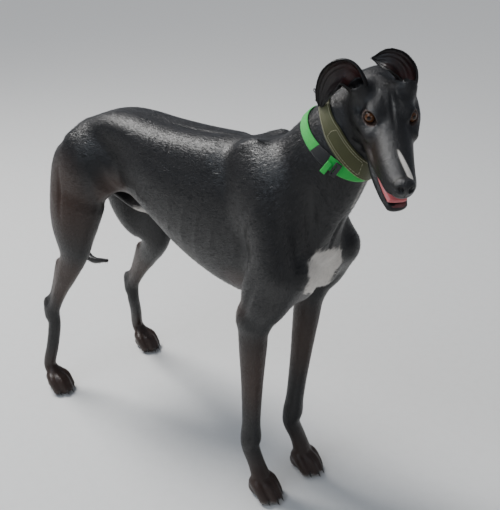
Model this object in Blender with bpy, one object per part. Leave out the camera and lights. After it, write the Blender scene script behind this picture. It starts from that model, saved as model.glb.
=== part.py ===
# A standing greyhound as a still, life-size model, with two collars. Metres, +Z up, +X towards the head.
# The body is one smooth distance field. Each node is polygonised from it and trimmed to its own region.
import math
import bpy
import numpy as np
from mathutils import Matrix, Vector

# Work out the field only near a shape
FAR = 1.0
MARGIN = 0.05

# Between nodes that touch
GAP = 0.0003

# Sizes taken from the species: an adult male, 0.71 at the withers
EYE_RADIUS = 0.0108
TOE_STEP = 0.0135
CLAW_LENGTH = 0.009
BAND_THICK = 0.0032

# Joints, before the part is centred on its origin. Y is to the dog's left.
FORE_RIGHT = dict(elbow=(0.224, -0.077, 0.392), carpus=(0.216, -0.074, 0.135), paw=(0.232, -0.068, 0))
FORE_LEFT = dict(elbow=(0.232, 0.076, 0.392), carpus=(0.227, 0.043, 0.133), paw=(0.247, 0.046, 0))
HIND_RIGHT = dict(hip=(-0.242, -0.057, 0.566), stifle=(-0.254, -0.087, 0.400),
                  hock=(-0.357, -0.102, 0.200), paw=(-0.356, -0.118, 0))
HIND_LEFT = dict(hip=(-0.250, 0.057, 0.566), stifle=(-0.188, 0.084, 0.386),
                 hock=(-0.328, 0.112, 0.190), paw=(-0.331, 0.135, 0))
EYE_MIDDLE = (0.428, -0.016, 0.789)
HEAD_YAW = -45.2
HEAD_PITCH = 27.0


# Field tools

def unit(v):
    v = np.asarray(v, float)
    return v / np.linalg.norm(v)


def smooth_union(a, b, blend):
    reach = np.maximum(blend - np.abs(a - b), 0.0)
    return np.minimum(a, b) - reach * reach / (4.0 * blend)


def smooth_cut(a, b, blend):
    return -smooth_union(-a, b, blend)


def curve(points, steps=4):
    """Rows of numbers along a Catmull-Rom curve through the given rows."""
    rows = np.asarray(points, float)
    rows = np.vstack([2 * rows[0] - rows[1], rows, 2 * rows[-1] - rows[-2]])
    out = []
    for i in range(1, len(rows) - 2):
        a, b, c, d = rows[i - 1:i + 3]
        for t in np.arange(steps) / steps:
            out.append(0.5 * (2 * b + (c - a) * t + (2 * a - 5 * b + 4 * c - d) * t * t
                              + (3 * b - a - 3 * c + d) * t ** 3))
    out.append(rows[-2])
    return np.array(out)


def axes_of(along, side):
    x = unit(along)
    y = np.asarray(side, float)
    y = unit(y - x * (y @ x))
    return np.array([x, y, np.cross(x, y)])


def ellipsoid(centre, radii, along=(1, 0, 0), side=(0, 1, 0)):
    """Radii run along, to the side, and across both."""
    centre, radii = np.asarray(centre, float), np.asarray(radii, float)
    turn = axes_of(along, side)

    def measure(p):
        q = (p - centre) @ turn.T
        k0 = np.sqrt(((q / radii) ** 2).sum(1))
        k1 = np.sqrt(((q / radii ** 2) ** 2).sum(1))
        return k0 * (k0 - 1.0) / np.maximum(k1, 1e-9)
    reach = np.sqrt(((turn.T * radii) ** 2).sum(1))
    return centre - reach, centre + reach, measure


def tube(points, side=(0, 1, 0), steps=4):
    """An elliptical tube. Each row: x, y, z, radius to the side, radius across."""
    rows = curve(points, steps)
    side = np.asarray(side, float)

    def measure(p):
        best = np.full(len(p), FAR)
        for a, b in zip(rows[:-1], rows[1:]):
            line = b[:3] - a[:3]
            length = np.linalg.norm(line)
            t, s, n = axes_of(line, side)
            q = p - a[:3]
            along = q @ t
            h = np.clip(along / length, 0.0, 1.0)
            rs = a[3] + (b[3] - a[3]) * h
            rn = a[4] + (b[4] - a[4]) * h
            u, v, w = q @ s, q @ n, along - h * length
            size = np.sqrt(u * u + v * v + w * w) + 1e-9
            k = np.sqrt((u / rs) ** 2 + (v / rn) ** 2 + (w / np.minimum(rs, rn)) ** 2) + 1e-9
            best = np.minimum(best, size - size / k)
        return best
    r = rows[:, 3:].max(1)[:, None]
    return (rows[:, :3] - r).min(0), (rows[:, :3] + r).max(0), measure


def profile(stations):
    """A body along X. Each row: x, half width, top, bottom, and how much wider it is above."""
    rows = curve(stations, 6)
    rows = rows[np.argsort(rows[:, 0])]

    def measure(p):
        x = np.clip(p[:, 0], rows[0, 0], rows[-1, 0])
        w, top, low, egg = (np.interp(x, rows[:, 0], rows[:, i]) for i in (1, 2, 3, 4))
        mid, h = (top + low) / 2, (top - low) / 2
        v = (p[:, 2] - mid) / h
        u = p[:, 1] / (w * (1 + egg * np.clip(v, -1.2, 1.2)))
        k = np.sqrt(u * u + v * v) + 1e-9
        size = np.sqrt(p[:, 1] ** 2 + (p[:, 2] - mid) ** 2) + 1e-9
        d = size - size / k
        over = np.abs(p[:, 0] - x)
        return np.where(over > 0, np.sqrt(np.maximum(d, 0) ** 2 + over ** 2), d)
    w = rows[:, 1].max() * 1.3
    low = np.array([rows[0, 0], -w, rows[:, 3].min()])
    return low, np.array([rows[-1, 0], w, rows[:, 2].max()]), measure


def swell(centre, radii, height, along=(1, 0, 0), side=(0, 1, 0)):
    """A soft swelling of the surface, or a hollow where height is negative."""
    centre, radii = np.asarray(centre, float), np.asarray(radii, float)
    turn = axes_of(along, side)

    def measure(p):
        q = (((p - centre) @ turn.T / radii) ** 2).sum(1)
        return height * np.maximum(1.0 - q, 0.0) ** 2
    reach = np.sqrt(((turn.T * radii) ** 2).sum(1))
    return centre - reach, centre + reach, measure


def evaluate(p, steps):
    """Steps are rows of a kind (add, cut or swell), a shape and a blend length."""
    d = np.full(len(p), FAR)
    for kind, (low, high, measure), blend in steps:
        margin = 0.0 if kind == "swell" else MARGIN
        i = np.nonzero(((p > low - margin) & (p < high + margin)).all(1))[0]
        if not len(i):
            continue
        m = measure(p[i])
        if kind == "add":
            d[i] = smooth_union(d[i], m, blend)
        elif kind == "cut":
            d[i] = smooth_cut(d[i], m, blend)
        else:
            d[i] -= m
    return d


def fill_diagonals(d, depth):
    """Fill the squares of the grid whose inside corners meet only across a diagonal, which would pinch."""
    for _ in range(12):
        found = False
        for axis in range(3):
            layers = np.moveaxis(d, axis, 0)
            four = [layers[:, :-1, :-1], layers[:, 1:, :-1], layers[:, :-1, 1:], layers[:, 1:, 1:]]
            a, b, c, e = (corner < 0 for corner in four)
            for checker, outside in ((a & e & ~b & ~c, (1, 2)), (~a & ~e & b & c, (0, 3))):
                if checker.any():
                    found = True
                    for i in outside:
                        four[i][checker] = -depth
        if not found:
            break


def surface_net(steps, low, high, cell):
    """Points and quads where the field is zero, closed at the sides of the box."""
    low, high = np.asarray(low, float), np.asarray(high, float)
    n = np.ceil((high - low) / cell).astype(int) + 1
    spans = [low[k] + cell * np.arange(n[k]) for k in range(3)]
    grid = np.stack(np.meshgrid(*spans, indexing="ij"), -1)
    d = evaluate(grid.reshape(-1, 3), steps).reshape(n)
    for k in range(3):
        edge = np.moveaxis(d, k, 0)
        edge[0] = np.maximum(edge[0], cell / 2)
        edge[-1] = np.maximum(edge[-1], cell / 2)
    fill_diagonals(d, cell / 20)
    inside = d < 0
    total = np.zeros(tuple(n - 1) + (3,))
    count = np.zeros(tuple(n - 1))
    for axis in range(3):
        for j in (0, 1):
            for k in (0, 1):
                start = [0, 0, 0]
                start[(axis + 1) % 3], start[(axis + 2) % 3] = j, k
                stop = list(start)
                stop[axis] = 1
                a, b = (d[o[0]:n[0] - 1 + o[0], o[1]:n[1] - 1 + o[1], o[2]:n[2] - 1 + o[2]]
                        for o in (start, stop))
                hit = (a < 0) != (b < 0)
                t = np.where(hit, a / np.where(hit, a - b, 1.0), 0.0)
                place = np.array(start, float) + t[..., None] * (np.array(stop) - start)
                total += hit[..., None] * place
                count += hit
    live = count > 0
    index = np.full(tuple(n - 1), -1)
    index[live] = np.arange(live.sum())
    base = grid[:-1, :-1, :-1][live]
    points = base + cell * total[live] / count[live][:, None]
    quads = []
    for axis in range(3):
        b, c = (axis + 1) % 3, (axis + 2) % 3
        first, second = [slice(None)] * 3, [slice(None)] * 3
        first[axis], second[axis] = slice(0, -1), slice(1, None)
        cross = np.argwhere(inside[tuple(first)] != inside[tuple(second)])
        keep = (cross[:, b] > 0) & (cross[:, c] > 0) & (cross[:, b] < n[b] - 1) & (cross[:, c] < n[c] - 1)
        cross = cross[keep]
        corner = []
        for db, dc in ((1, 1), (0, 1), (0, 0), (1, 0)):
            q = cross.copy()
            q[:, b] -= db
            q[:, c] -= dc
            corner.append(index[tuple(q.T)])
        quad = np.stack(corner, 1)
        outward = inside[tuple(cross.T)]
        quad[~outward] = quad[~outward][:, ::-1]
        quads.append(quad)
    return points, np.vstack(quads)


# The head's own frame: u forward, v to its left, w up, from the middle of the eyes

class Frame:
    def __init__(self, origin, yaw, pitch):
        turn = Matrix.Rotation(math.radians(yaw), 3, "Z") @ Matrix.Rotation(math.radians(pitch), 3, "Y")
        self.turn = np.array(turn)
        self.origin = np.asarray(origin, float)

    def out(self, p):
        return self.origin + np.asarray(p, float) @ self.turn.T

    def place(self, shape):
        low, high, measure = shape
        ends = np.array([low, high])
        corners = np.array([[ends[i, 0], ends[j, 1], ends[k, 2]] for i in (0, 1) for j in (0, 1) for k in (0, 1)])
        world = self.out(corners)
        return world.min(0), world.max(0), lambda p: measure((p - self.origin) @ self.turn)


HEAD = Frame(EYE_MIDDLE, HEAD_YAW, HEAD_PITCH)


# The body

def trunk():
    steps = [("add", profile([
        (0.318, 0.028, 0.580, 0.522, 0.0), (0.304, 0.042, 0.620, 0.482, 0.05), (0.280, 0.056, 0.658, 0.446, 0.10),
        (0.235, 0.068, 0.688, 0.415, 0.12), (0.180, 0.077, 0.703, 0.399, 0.14), (0.100, 0.087, 0.692, 0.405, 0.16),
        (0.020, 0.090, 0.683, 0.434, 0.14), (-0.060, 0.081, 0.683, 0.480, 0.10), (-0.130, 0.065, 0.686, 0.510, 0.05),
        (-0.200, 0.057, 0.678, 0.522, 0.00), (-0.265, 0.056, 0.644, 0.522, 0.05), (-0.309, 0.048, 0.603, 0.522, 0.10),
        (-0.341, 0.034, 0.570, 0.528, 0.10)]), 0.02)]
    for k, out in ((-1, 0.0), (1, 0.014)):
        steps += [
            ("add", tube([(0.10, k * 0.030, 0.656, 0.026, 0.026), (-0.05, k * 0.032, 0.652, 0.028, 0.026),
                          (-0.16, k * 0.030, 0.655, 0.028, 0.026), (-0.24, k * 0.028, 0.634, 0.028, 0.026)]), 0.03),
            ("add", tube([(0.180, k * 0.036, 0.690, 0.016, 0.030), (0.215, k * 0.056, 0.640, 0.026, 0.046),
                          (0.256, k * 0.068, 0.570, 0.030, 0.046), (0.288, k * 0.068 + out, 0.512, 0.032, 0.036)]), 0.03),
            ("add", ellipsoid((0.246, k * 0.078, 0.480), (0.080, 0.028, 0.038), (0.32, 0, 0.92)), 0.03),
            ("add", tube([(0.288, k * 0.066 + out, 0.505, 0.032, 0.034), (0.262, k * 0.074 + out, 0.450, 0.029, 0.033),
                          (0.235, k * 0.077, 0.408, 0.027, 0.027)]), 0.025),
            ("add", ellipsoid((0.284, k * 0.032, 0.500), (0.038, 0.034, 0.055)), 0.025),
            ("add", ellipsoid((-0.232, k * 0.060, 0.568), (0.078, 0.042, 0.068), (1, 0, -0.4)), 0.04),
            ("add", ellipsoid((-0.308, k * 0.040, 0.546), (0.036, 0.030, 0.042)), 0.03)]
    steps += [("add", tube([(-0.235, 0, 0.512, 0.014, 0.014), (-0.195, 0, 0.500, 0.0125, 0.0150),
                            (-0.155, 0, 0.489, 0.0110, 0.0130), (-0.120, 0, 0.487, 0.0080, 0.0090)]), 0.016),
              ("add", ellipsoid((-0.160, 0, 0.503), (0.036, 0.009, 0.016)), 0.012)]
    return steps


def neck():
    return [("add", tube([(0.235, 0, 0.590, 0.070, 0.088), (0.278, 0.004, 0.650, 0.065, 0.085),
                          (0.312, 0.012, 0.705, 0.058, 0.073), (0.338, 0.024, 0.752, 0.052, 0.061),
                          (0.360, 0.034, 0.790, 0.047, 0.050)]), 0.04)]


def paw(middle, size):
    """Four arched toes in a row, with the pad under them."""
    x, y, _ = middle
    steps = []
    for across, reach in ((-1.5, 0.030), (-0.5, 0.042), (0.5, 0.042), (1.5, 0.030)):
        side = y + across * TOE_STEP * size
        steps.append(("add", tube([(x - 0.002, y + across * 0.009 * size, 0.036, 0.0115, 0.013),
                                   (x + (reach - 0.016) * size, side, 0.030, 0.0105, 0.0125),
                                   (x + reach * size, side, 0.0112, 0.0098, 0.0122)], steps=3), 0.006))
    steps.append(("add", ellipsoid((x + 0.002, y, 0.014), (0.026, 0.021, 0.0165)), 0.012))
    return steps


def fore_leg(elbow, carpus, paw_at):
    e, c, f = map(np.array, (elbow, carpus, paw_at))

    def at(t, side, across):
        return tuple(e + (c - e) * t) + (side, across)
    line = [at(-0.02, 0.0285, 0.0295), at(0.20, 0.0255, 0.0270), at(0.45, 0.0215, 0.0230), at(0.70, 0.0190, 0.0200),
            at(0.88, 0.0190, 0.0190), at(1.0, 0.0220, 0.0205), at(1.10, 0.0190, 0.0180),
            (f[0] - 0.008, f[1], 0.072, 0.0185, 0.0160), (f[0] + 0.004, f[1], 0.045, 0.0210, 0.0170)]
    return [("add", tube(line), 0.02),
            ("add", ellipsoid((e[0] - 0.009, e[1], e[2] + 0.018), (0.017, 0.015, 0.022)), 0.02)] + paw(f, 1.0)


def hind_leg(hip, stifle, hock, paw_at):
    h, s, k, f = map(np.array, (hip, stifle, hock, paw_at))
    middle, down = (h + s) / 2, unit(s - h)
    back = np.array([1.0, 0, 0])

    def shank(t, side, across, shift=0.0):
        return tuple(s + (k - s) * t + back * shift) + (side, across)
    line = [tuple(h + (s - h) * 0.5) + (0.038, 0.052), tuple(s + (0, 0, 0.03)) + (0.030, 0.036),
            tuple(s + (-0.010, 0, -0.02)) + (0.0265, 0.033), shank(0.40, 0.0215, 0.0270), shank(0.66, 0.0160, 0.0180),
            shank(0.88, 0.0138, 0.0150), shank(1.0, 0.0155, 0.0185), tuple(k + (0.0, 0, -0.035)) + (0.0145, 0.0165),
            (k[0] * 0.6 + f[0] * 0.4 - 0.007, (k[1] + f[1]) / 2, 0.11, 0.0140, 0.0165),
            (f[0] - 0.017, f[1], 0.060, 0.0150, 0.0160), (f[0] - 0.002, f[1], 0.040, 0.0185, 0.0155)]
    cord = [shank(0.32, 0.013, 0.015, -0.026), shank(0.75, 0.0060, 0.0080, -0.021),
            tuple(k + (-0.018, 0, 0.020)) + (0.0080, 0.0095), tuple(k + (-0.010, 0, -0.010)) + (0.0120, 0.0120)]
    inner = middle + (-0.030, -0.022 * np.sign(h[1]), -0.030)
    return [("add", ellipsoid(middle + (-0.010, 0, 0.006), (0.118, 0.039, 0.055), down), 0.035),
            ("add", ellipsoid(middle + (-0.040, 0, 0.004), (0.105, 0.033, 0.040), unit(down + 0.1 * back)), 0.03),
            ("add", ellipsoid(inner, (0.075, 0.022, 0.045), down), 0.03),
            ("add", tube(line), 0.02), ("add", tube(cord), 0.012)] + paw(f, 0.95)


TAIL_ROOT = [(-0.318, 0, 0.572, 0.024, 0.026), (-0.350, 0, 0.556, 0.0200, 0.0205)]
TAIL = [(-0.345, 0, 0.560, 0.0200, 0.0205), (-0.374, 0, 0.518, 0.0160, 0.0165), (-0.383, 0, 0.455, 0.0135, 0.0135),
        (-0.378, -0.004, 0.395, 0.0115, 0.0115), (-0.352, -0.010, 0.345, 0.0100, 0.0100),
        (-0.305, -0.018, 0.321, 0.0085, 0.0085), (-0.247, -0.020, 0.336, 0.0045, 0.0045)]


# Ears: a folded sheet along a centre line, open on one side

RIGHT_EAR = [
    # u, v, w; the way the cup faces; radius; half angles to the lower and the upper rim, in degrees
    (-0.060, -0.037, 0.004, 0.90, -0.2, 0.40, 0.0120, 150, 150), (-0.066, -0.047, 0.018, 0.90, -0.2, 0.45, 0.0150, 132, 122),
    (-0.073, -0.059, 0.024, 0.85, -0.2, 0.50, 0.0180, 124, 88), (-0.078, -0.071, 0.016, 0.80, -0.2, 0.50, 0.0190, 118, 68),
    (-0.081, -0.080, 0.002, 0.80, -0.3, 0.45, 0.0180, 100, 55), (-0.080, -0.085, -0.015, 0.80, -0.4, 0.35, 0.0160, 76, 48),
    (-0.077, -0.087, -0.032, 0.80, -0.5, 0.25, 0.0135, 52, 42), (-0.074, -0.088, -0.045, 0.80, -0.5, 0.20, 0.0110, 20, 18)]
LEFT_EAR = [
    (-0.056, 0.027, 0.004, 0.90, 0.0, 0.40, 0.0120, 150, 150), (-0.066, 0.028, 0.016, 0.90, 0.0, 0.45, 0.0140, 128, 122),
    (-0.074, 0.024, 0.026, 0.85, 0.0, 0.50, 0.0165, 118, 80), (-0.081, 0.015, 0.033, 0.75, 0.0, 0.60, 0.0180, 106, 60),
    (-0.087, 0.004, 0.034, 0.70, 0.0, 0.70, 0.0170, 88, 52), (-0.091, -0.008, 0.031, 0.70, 0.0, 0.70, 0.0135, 52, 40),
    (-0.094, -0.018, 0.029, 0.70, 0.0, 0.70, 0.0080, 15, 14)]


def cross_ways(line, facing):
    """The way along the sheet, across it, and into its cup."""
    t = unit(line)
    b = unit(facing - t * (facing @ t))
    return t, np.cross(t, b), b


def ear_axis(rows):
    """The middle of the rolled part of the sheet at its first three rows."""
    line = np.array(rows)[:3]
    out = []
    for i, row in enumerate(line):
        _, _, b = cross_ways(line[min(i + 1, 2), :3] - line[max(i - 1, 0), :3], row[3:6])
        out.append(row[:3] + row[6] * b)
    return out


# The head, in its own frame

NOSE = (0.118, -0.001, -0.012)

def skull():
    steps = [("add", ellipsoid((-0.052, 0, -0.020), (0.056, 0.043, 0.037)), 0.02),
             ("add", ellipsoid((-0.094, 0, -0.010), (0.018, 0.016, 0.018)), 0.015),
             ("add", tube([(-0.040, 0, -0.022, 0.037, 0.038), (0.0, 0, -0.0205, 0.035, 0.0310),
                           (0.03, 0.000, -0.0220, 0.030, 0.0260), (0.065, -0.001, -0.0222, 0.0265, 0.0218),
                           (0.098, -0.001, -0.0228, 0.0225, 0.0195), (0.110, -0.001, -0.0225, 0.0195, 0.0175)]), 0.02),
             ("add", ellipsoid((-0.062, 0, -0.060), (0.042, 0.036, 0.032)), 0.03)]
    for k in (-1, 1):
        steps += [("add", ellipsoid((-0.014, k * 0.023, 0.003), (0.022, 0.012, 0.010)), 0.012),
                  ("add", tube([(0.014, k * 0.031, -0.020, 0.010, 0.010), (-0.020, k * 0.041, -0.018, 0.009, 0.010),
                                (-0.055, k * 0.041, -0.018, 0.010, 0.010)]), 0.012),
                  ("add", ellipsoid((-0.040, k * 0.034, -0.044), (0.038, 0.016, 0.030)), 0.015)]
    return steps


def jaws():
    """The lower jaw, the open mouth, and the lips that hang over its sides."""
    steps = [("add", tube([(-0.045, 0, -0.052, 0.034, 0.026), (0.005, 0, -0.0620, 0.0300, 0.016),
                           (0.040, 0.000, -0.0705, 0.0275, 0.0120), (0.073, 0.003, -0.0785, 0.0225, 0.0105),
                           (0.093, 0.006, -0.0830, 0.0175, 0.0095)]), 0.012),
             ("cut", tube([(0.012, 0, -0.0500, 0.036, 0.003), (0.050, 0, -0.0555, 0.036, 0.008),
                           (0.085, 0, -0.0600, 0.034, 0.0145), (0.13, 0, -0.0650, 0.034, 0.020)]), 0.004)]
    for k in (-1, 1):
        steps.append(("add", tube([(-0.020, k * 0.0290, -0.042, 0.0060, 0.0070), (0.005, k * 0.0300, -0.041, 0.0075, 0.0080),
                                   (0.040, k * 0.0270, -0.040, 0.0070, 0.0085), (0.075, k * 0.0210, -0.037, 0.0060, 0.0085),
                                   (0.102, k * 0.0140, -0.033, 0.0060, 0.0070)]), 0.012))
    return steps


def nose():
    u, v, w = NOSE
    steps = [("add", ellipsoid(NOSE, (0.0125, 0.0165, 0.0125)), 0.006),
             ("swell", swell((u + 0.013, v, w - 0.008), (0.012, 0.0025, 0.016), -0.0012), 0)]
    for k in (-1, 1):
        steps.append(("cut", ellipsoid((u + 0.010, v + k * 0.008, w + 0.001), (0.0070, 0.0034, 0.0040), (1, k * 0.3, 0)), 0.002))
        steps.append(("cut", tube([(u + 0.008, v + k * 0.0100, w, 0.0016, 0.0016),
                                   (u + 0.001, v + k * 0.0165, w - 0.0025, 0.0012, 0.0012)]), 0.002))
    return steps


def eye_place(k):
    """The ball's centre, the way it looks, and the way to the inner corner, for side k."""
    look = unit((0.76, k * 0.44, 0.44))
    inner = unit(np.array([0.62, -k * 0.70, -0.35]))
    inner = unit(inner - look * (inner @ look))
    return np.array([0.0, k * 0.0325, 0.0]) - look * 0.0098, look, inner


def lids():
    """Lids drawn over the ball, open in an almond, with a hollow in front of the inner corner."""
    steps = []
    for k in (-1, 1):
        ball, look, inner = eye_place(k)
        steps += [("add", ellipsoid(ball, (EYE_RADIUS + 0.0022,) * 3), 0.008),
                  ("swell", swell(ball + inner * 0.020 + look * 0.004, (0.012, 0.010, 0.010), -0.003), 0),
                  ("cut", ellipsoid(ball + look * 0.0150, (0.0150, 0.0110, 0.0073), look, inner), 0.0015)]
    return steps


def ear_roots():
    steps = []
    for k, rows in ((-1, RIGHT_EAR), (1, LEFT_EAR)):
        axis = ear_axis(rows)
        deep = (-0.050, k * 0.022, -0.010)
        steps += [("add", tube([deep + (0.020, 0.020), tuple(axis[0]) + (0.0170, 0.0170),
                                tuple((axis[0] + axis[1]) / 2) + (0.0150, 0.0150)]), 0.014),
                  ("cut", tube([tuple(axis[2]) + (0.0120, 0.0120), tuple(axis[1]) + (0.0105, 0.0105),
                                tuple(axis[0]) + (0.0075, 0.0075)]), 0.003)]
    return steps


def head():
    steps = skull() + jaws() + nose() + lids() + ear_roots()
    return [(kind, HEAD.place(shape), blend) for kind, shape, blend in steps]


def whole():
    steps = trunk() + neck()
    for leg in (HIND_RIGHT, HIND_LEFT):
        steps += hind_leg(leg["hip"], leg["stifle"], leg["hock"], leg["paw"])
    for leg in (FORE_RIGHT, FORE_LEFT):
        steps += fore_leg(leg["elbow"], leg["carpus"], leg["paw"])
    return steps + [("add", tube(TAIL_ROOT), 0.02)] + head()


EAR_HALF_THICK = 0.0019


def ear_sheet(rows, across=15, steps=4):
    """Points of the folded sheet in the head's frame, with half thicknesses."""
    line = curve(rows, steps)
    along = np.gradient(line[:, :3], axis=0)
    spread = np.linspace(-1, 1, across)
    grid = np.empty((len(line), across, 3))
    thick = np.empty((len(line), across))
    for i, row in enumerate(line):
        _, a, b = cross_ways(along[i], row[3:6])
        angle = spread * np.radians(np.where(spread < 0, row[7], row[8]))
        grid[i] = row[:3] + row[6] * (np.outer(np.sin(angle), a) + np.outer(1 - np.cos(angle), b))
        s = i / (len(line) - 1)
        thick[i] = EAR_HALF_THICK * (1.25 - 0.45 * s) * (1 - 0.25 * spread ** 4)
    return HEAD.out(grid.reshape(-1, 3)).reshape(grid.shape), thick


def ear(name, rows):
    """The folded sheet as a closed solid, with like triangles on both faces."""
    grid, thick = ear_sheet(rows, 11, 2)
    n, m = thick.shape
    along, over = np.gradient(grid, axis=0), np.gradient(grid, axis=1)
    normal = np.cross(along, over)
    normal /= np.linalg.norm(normal, axis=2)[..., None]
    points = np.vstack([(grid + k * normal * thick[..., None]).reshape(-1, 3) for k in (1, -1)])
    faces = []
    for i in range(n - 1):
        for j in range(m - 1):
            a, b, c, d = i * m + j, i * m + j + 1, (i + 1) * m + j + 1, (i + 1) * m + j
            for three in ((a, c, b), (a, d, c)):
                faces += [three, tuple(n * m + q for q in three[::-1])]
    rim = [j for j in range(m)] + [i * m + m - 1 for i in range(1, n)]
    rim += [(n - 1) * m + j for j in range(m - 2, -1, -1)] + [i * m for i in range(n - 2, 0, -1)]
    for a, b in zip(rim, rim[1:] + rim[:1]):
        faces += [(a, b, n * m + b), (a, n * m + b, n * m + a)]
    return add_object(name, points, faces)


# Tongue and collars

TONGUE = [(0.004, 0, -0.0560, 0.0210, 0.0060), (0.040, 0.002, -0.0630, 0.0215, 0.0068),
          (0.069, 0.004, -0.0690, 0.0190, 0.0062), (0.090, 0.006, -0.0740, 0.0150, 0.0048)]


def tongue():
    return [("add", HEAD.place(tube(TONGUE)), 0.004)]


def strap(name, centre, normal, width_front, width_back, low=-0.0010, high=BAND_THICK, sections=32):
    """A collar: a strap round the neck on a slanted plane, wider at the throat."""
    centre, normal = np.asarray(centre, float), unit(normal)
    body = neck() + trunk()[:1]
    front = unit(np.array([1.0, -0.4, 0]) - normal * normal[0])
    side = np.cross(normal, front)
    angle = 2 * math.pi * np.arange(sections) / sections
    way = np.outer(np.cos(angle), front) + np.outer(np.sin(angle), side)
    width = width_back + (width_front - width_back) * np.clip(0.5 + 0.8 * np.cos(angle), 0, 1)
    spread = np.array([-0.5, 0.0, 0.5])
    start = centre + (spread[:, None] * width)[..., None] * normal
    near, far = np.zeros((3, sections)), np.full((3, sections), 0.14)
    for _ in range(18):
        half = (near + far) / 2
        inside = evaluate((start + half[..., None] * way).reshape(-1, 3), body).reshape(half.shape) < 0
        near, far = np.where(inside, half, near), np.where(inside, far, half)
    loop = [(start[i] + (near[i] + reach)[:, None] * way) for reach, order in ((high, (0, 1, 2)), (low, (2, 1, 0)))
            for i in order]
    points = np.vstack(loop)
    faces = []
    for i in range(6):
        a, b = i * sections, (i + 1) % 6 * sections
        for j in range(sections):
            k = (j + 1) % sections
            faces += [(a + j, a + k, b + k), (a + j, b + k, b + j)]
    return add_object(name, points, faces)


OLIVE = dict(centre=(0.3380, -0.0168, 0.7497), normal=(0.706, 0.212, 0.676), width_front=0.028, width_back=0.022)
GREEN = dict(centre=(0.3262, -0.0195, 0.7205), normal=(0.590, -0.060, 0.805), width_front=0.019, width_back=0.016)
SLIDER = (0.350, -0.034, 0.699)
KEEPER = (0.338, -0.040, 0.701)
BUCKLE = (0.3050, 0.0304, 0.7750)
RING = (0.2900, 0.0024, 0.7925)
RING_RADIUS = 0.0095
RING_WIRE = 0.0017


def on_band(point, normal):
    """A frame on the neck: across the band, along it, and outwards."""
    p = np.asarray(point, float)
    body = neck() + trunk()[:1]
    step = 0.001
    slope = np.array([evaluate(np.array([p + step * e, p - step * e]), body) for e in np.eye(3)])
    out = unit(slope[:, 0] - slope[:, 1])
    p = p - out * evaluate(p[None], body)[0]
    across = unit(np.asarray(normal) - out * (out @ np.asarray(normal)))
    return p, np.array([across, np.cross(out, across), out])


def plate(name, point, normal, size, height, hole=None):
    """A plate on a band, with its edges eased. Size and hole run across and along it."""
    at, turn = on_band(point, normal)
    ease = 0.0008
    rims = [(size, ease, 0.0), (size, 0.0, ease), (size, 0.0, height - ease), (size, ease, height)]
    if hole:
        rims += [(hole, 0.0, height), (hole, 0.0, 0.0)]
    points = []
    for (across, along), trim, up in rims:
        a, b = across / 2 - trim, along / 2 - trim
        points += [(a, b, up), (-a, b, up), (-a, -b, up), (a, -b, up)]
    faces = []
    for i in range(len(rims) if hole else len(rims) - 1):
        k, m = 4 * i, 4 * (i + 1) % len(points)
        faces += [(k + j, k + (j + 1) % 4, m + (j + 1) % 4, m + j) for j in range(4)]
    if not hole:
        faces += [(3, 2, 1, 0), tuple(range(len(points) - 4, len(points)))]
    base = at + turn[2] * (BAND_THICK + GAP)
    return add_object(name, base + np.array(points) @ turn, faces)


def ring(name, point, normal, radius, wire, turns=20, sides=8):
    """A ring of round wire with a flat side that lies on a band."""
    at, turn = on_band(point, normal)
    across, along, out = turn
    low = -0.6
    centre = at + out * (BAND_THICK + GAP - low * radius + wire)
    flat = unit(along * 0.25 + across)
    first = np.cross(flat, out)
    points, faces = [], []
    for i in range(turns):
        a = 2 * math.pi * (i + 0.5) / turns
        way = math.cos(a) * first + math.sin(a) * out if math.sin(a) > low else -out
        middle = math.cos(a) * first + max(math.sin(a), low) * out
        for j in range(sides):
            b = 2 * math.pi * j / sides
            points.append(centre + middle * radius + way * wire * math.cos(b) + flat * wire * math.sin(b))
    for i in range(turns):
        for j in range(sides):
            k, m = i * sides, (i + 1) % turns * sides
            faces.append((k + j, k + (j + 1) % sides, m + (j + 1) % sides, m + j))
    return add_object(name, points, faces)


# Nodes: the field is polygonised in a box, thinned to a number of triangles, and trimmed

bpy_scene = bpy.context.scene


def material(name, colour, roughness, metallic=0.0):
    m = bpy.data.materials.get(name) or bpy.data.materials.new(name)
    m.use_nodes = True
    shader = m.node_tree.nodes["Principled BSDF"]
    shader.inputs["Base Color"].default_value = colour + (1.0,)
    shader.inputs["Roughness"].default_value = roughness
    shader.inputs["Metallic"].default_value = metallic
    return m


def add_object(name, points, faces):
    mesh = bpy.data.meshes.new(name)
    mesh.from_pydata([tuple(p) for p in points], [], [tuple(int(i) for i in f) for f in faces])
    mesh.update()
    made = bpy.data.objects.new(name, mesh)
    bpy_scene.collection.objects.link(made)
    return made


def bake(made):
    """Apply the modifiers of an object."""
    mesh = bpy.data.meshes.new_from_object(made.evaluated_get(bpy.context.evaluated_depsgraph_get()))
    made.modifiers.clear()
    old, made.data = made.data, mesh
    bpy.data.meshes.remove(old)
    return made


def thin(made, triangles):
    made.data.calc_loop_triangles()
    now = len(made.data.loop_triangles)
    if now > triangles:
        change = made.modifiers.new("Thin", "DECIMATE")
        change.ratio = triangles / now
        change.use_collapse_triangulate = True
        bake(made)
    return made


def from_field(name, steps, low, high, cell, triangles):
    points, quads = surface_net(steps, low, high, cell)
    return thin(add_object(name, points, quads), triangles)


def block(low, high, about=None, turn=None):
    """A box cutter between two corners, in a turned frame where one is given."""
    ends = (low, high)
    points = [(ends[i][0], ends[j][1], ends[k][2]) for i in (0, 1) for j in (0, 1) for k in (0, 1)]
    if turn is not None:
        points = [tuple(Vector(about) + turn @ Vector(p)) for p in points]
    faces = [(0, 1, 3, 2), (4, 6, 7, 5), (0, 4, 5, 1), (2, 3, 7, 6), (0, 2, 6, 4), (1, 5, 7, 3)]
    return add_object("cutter", points, faces)


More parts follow.
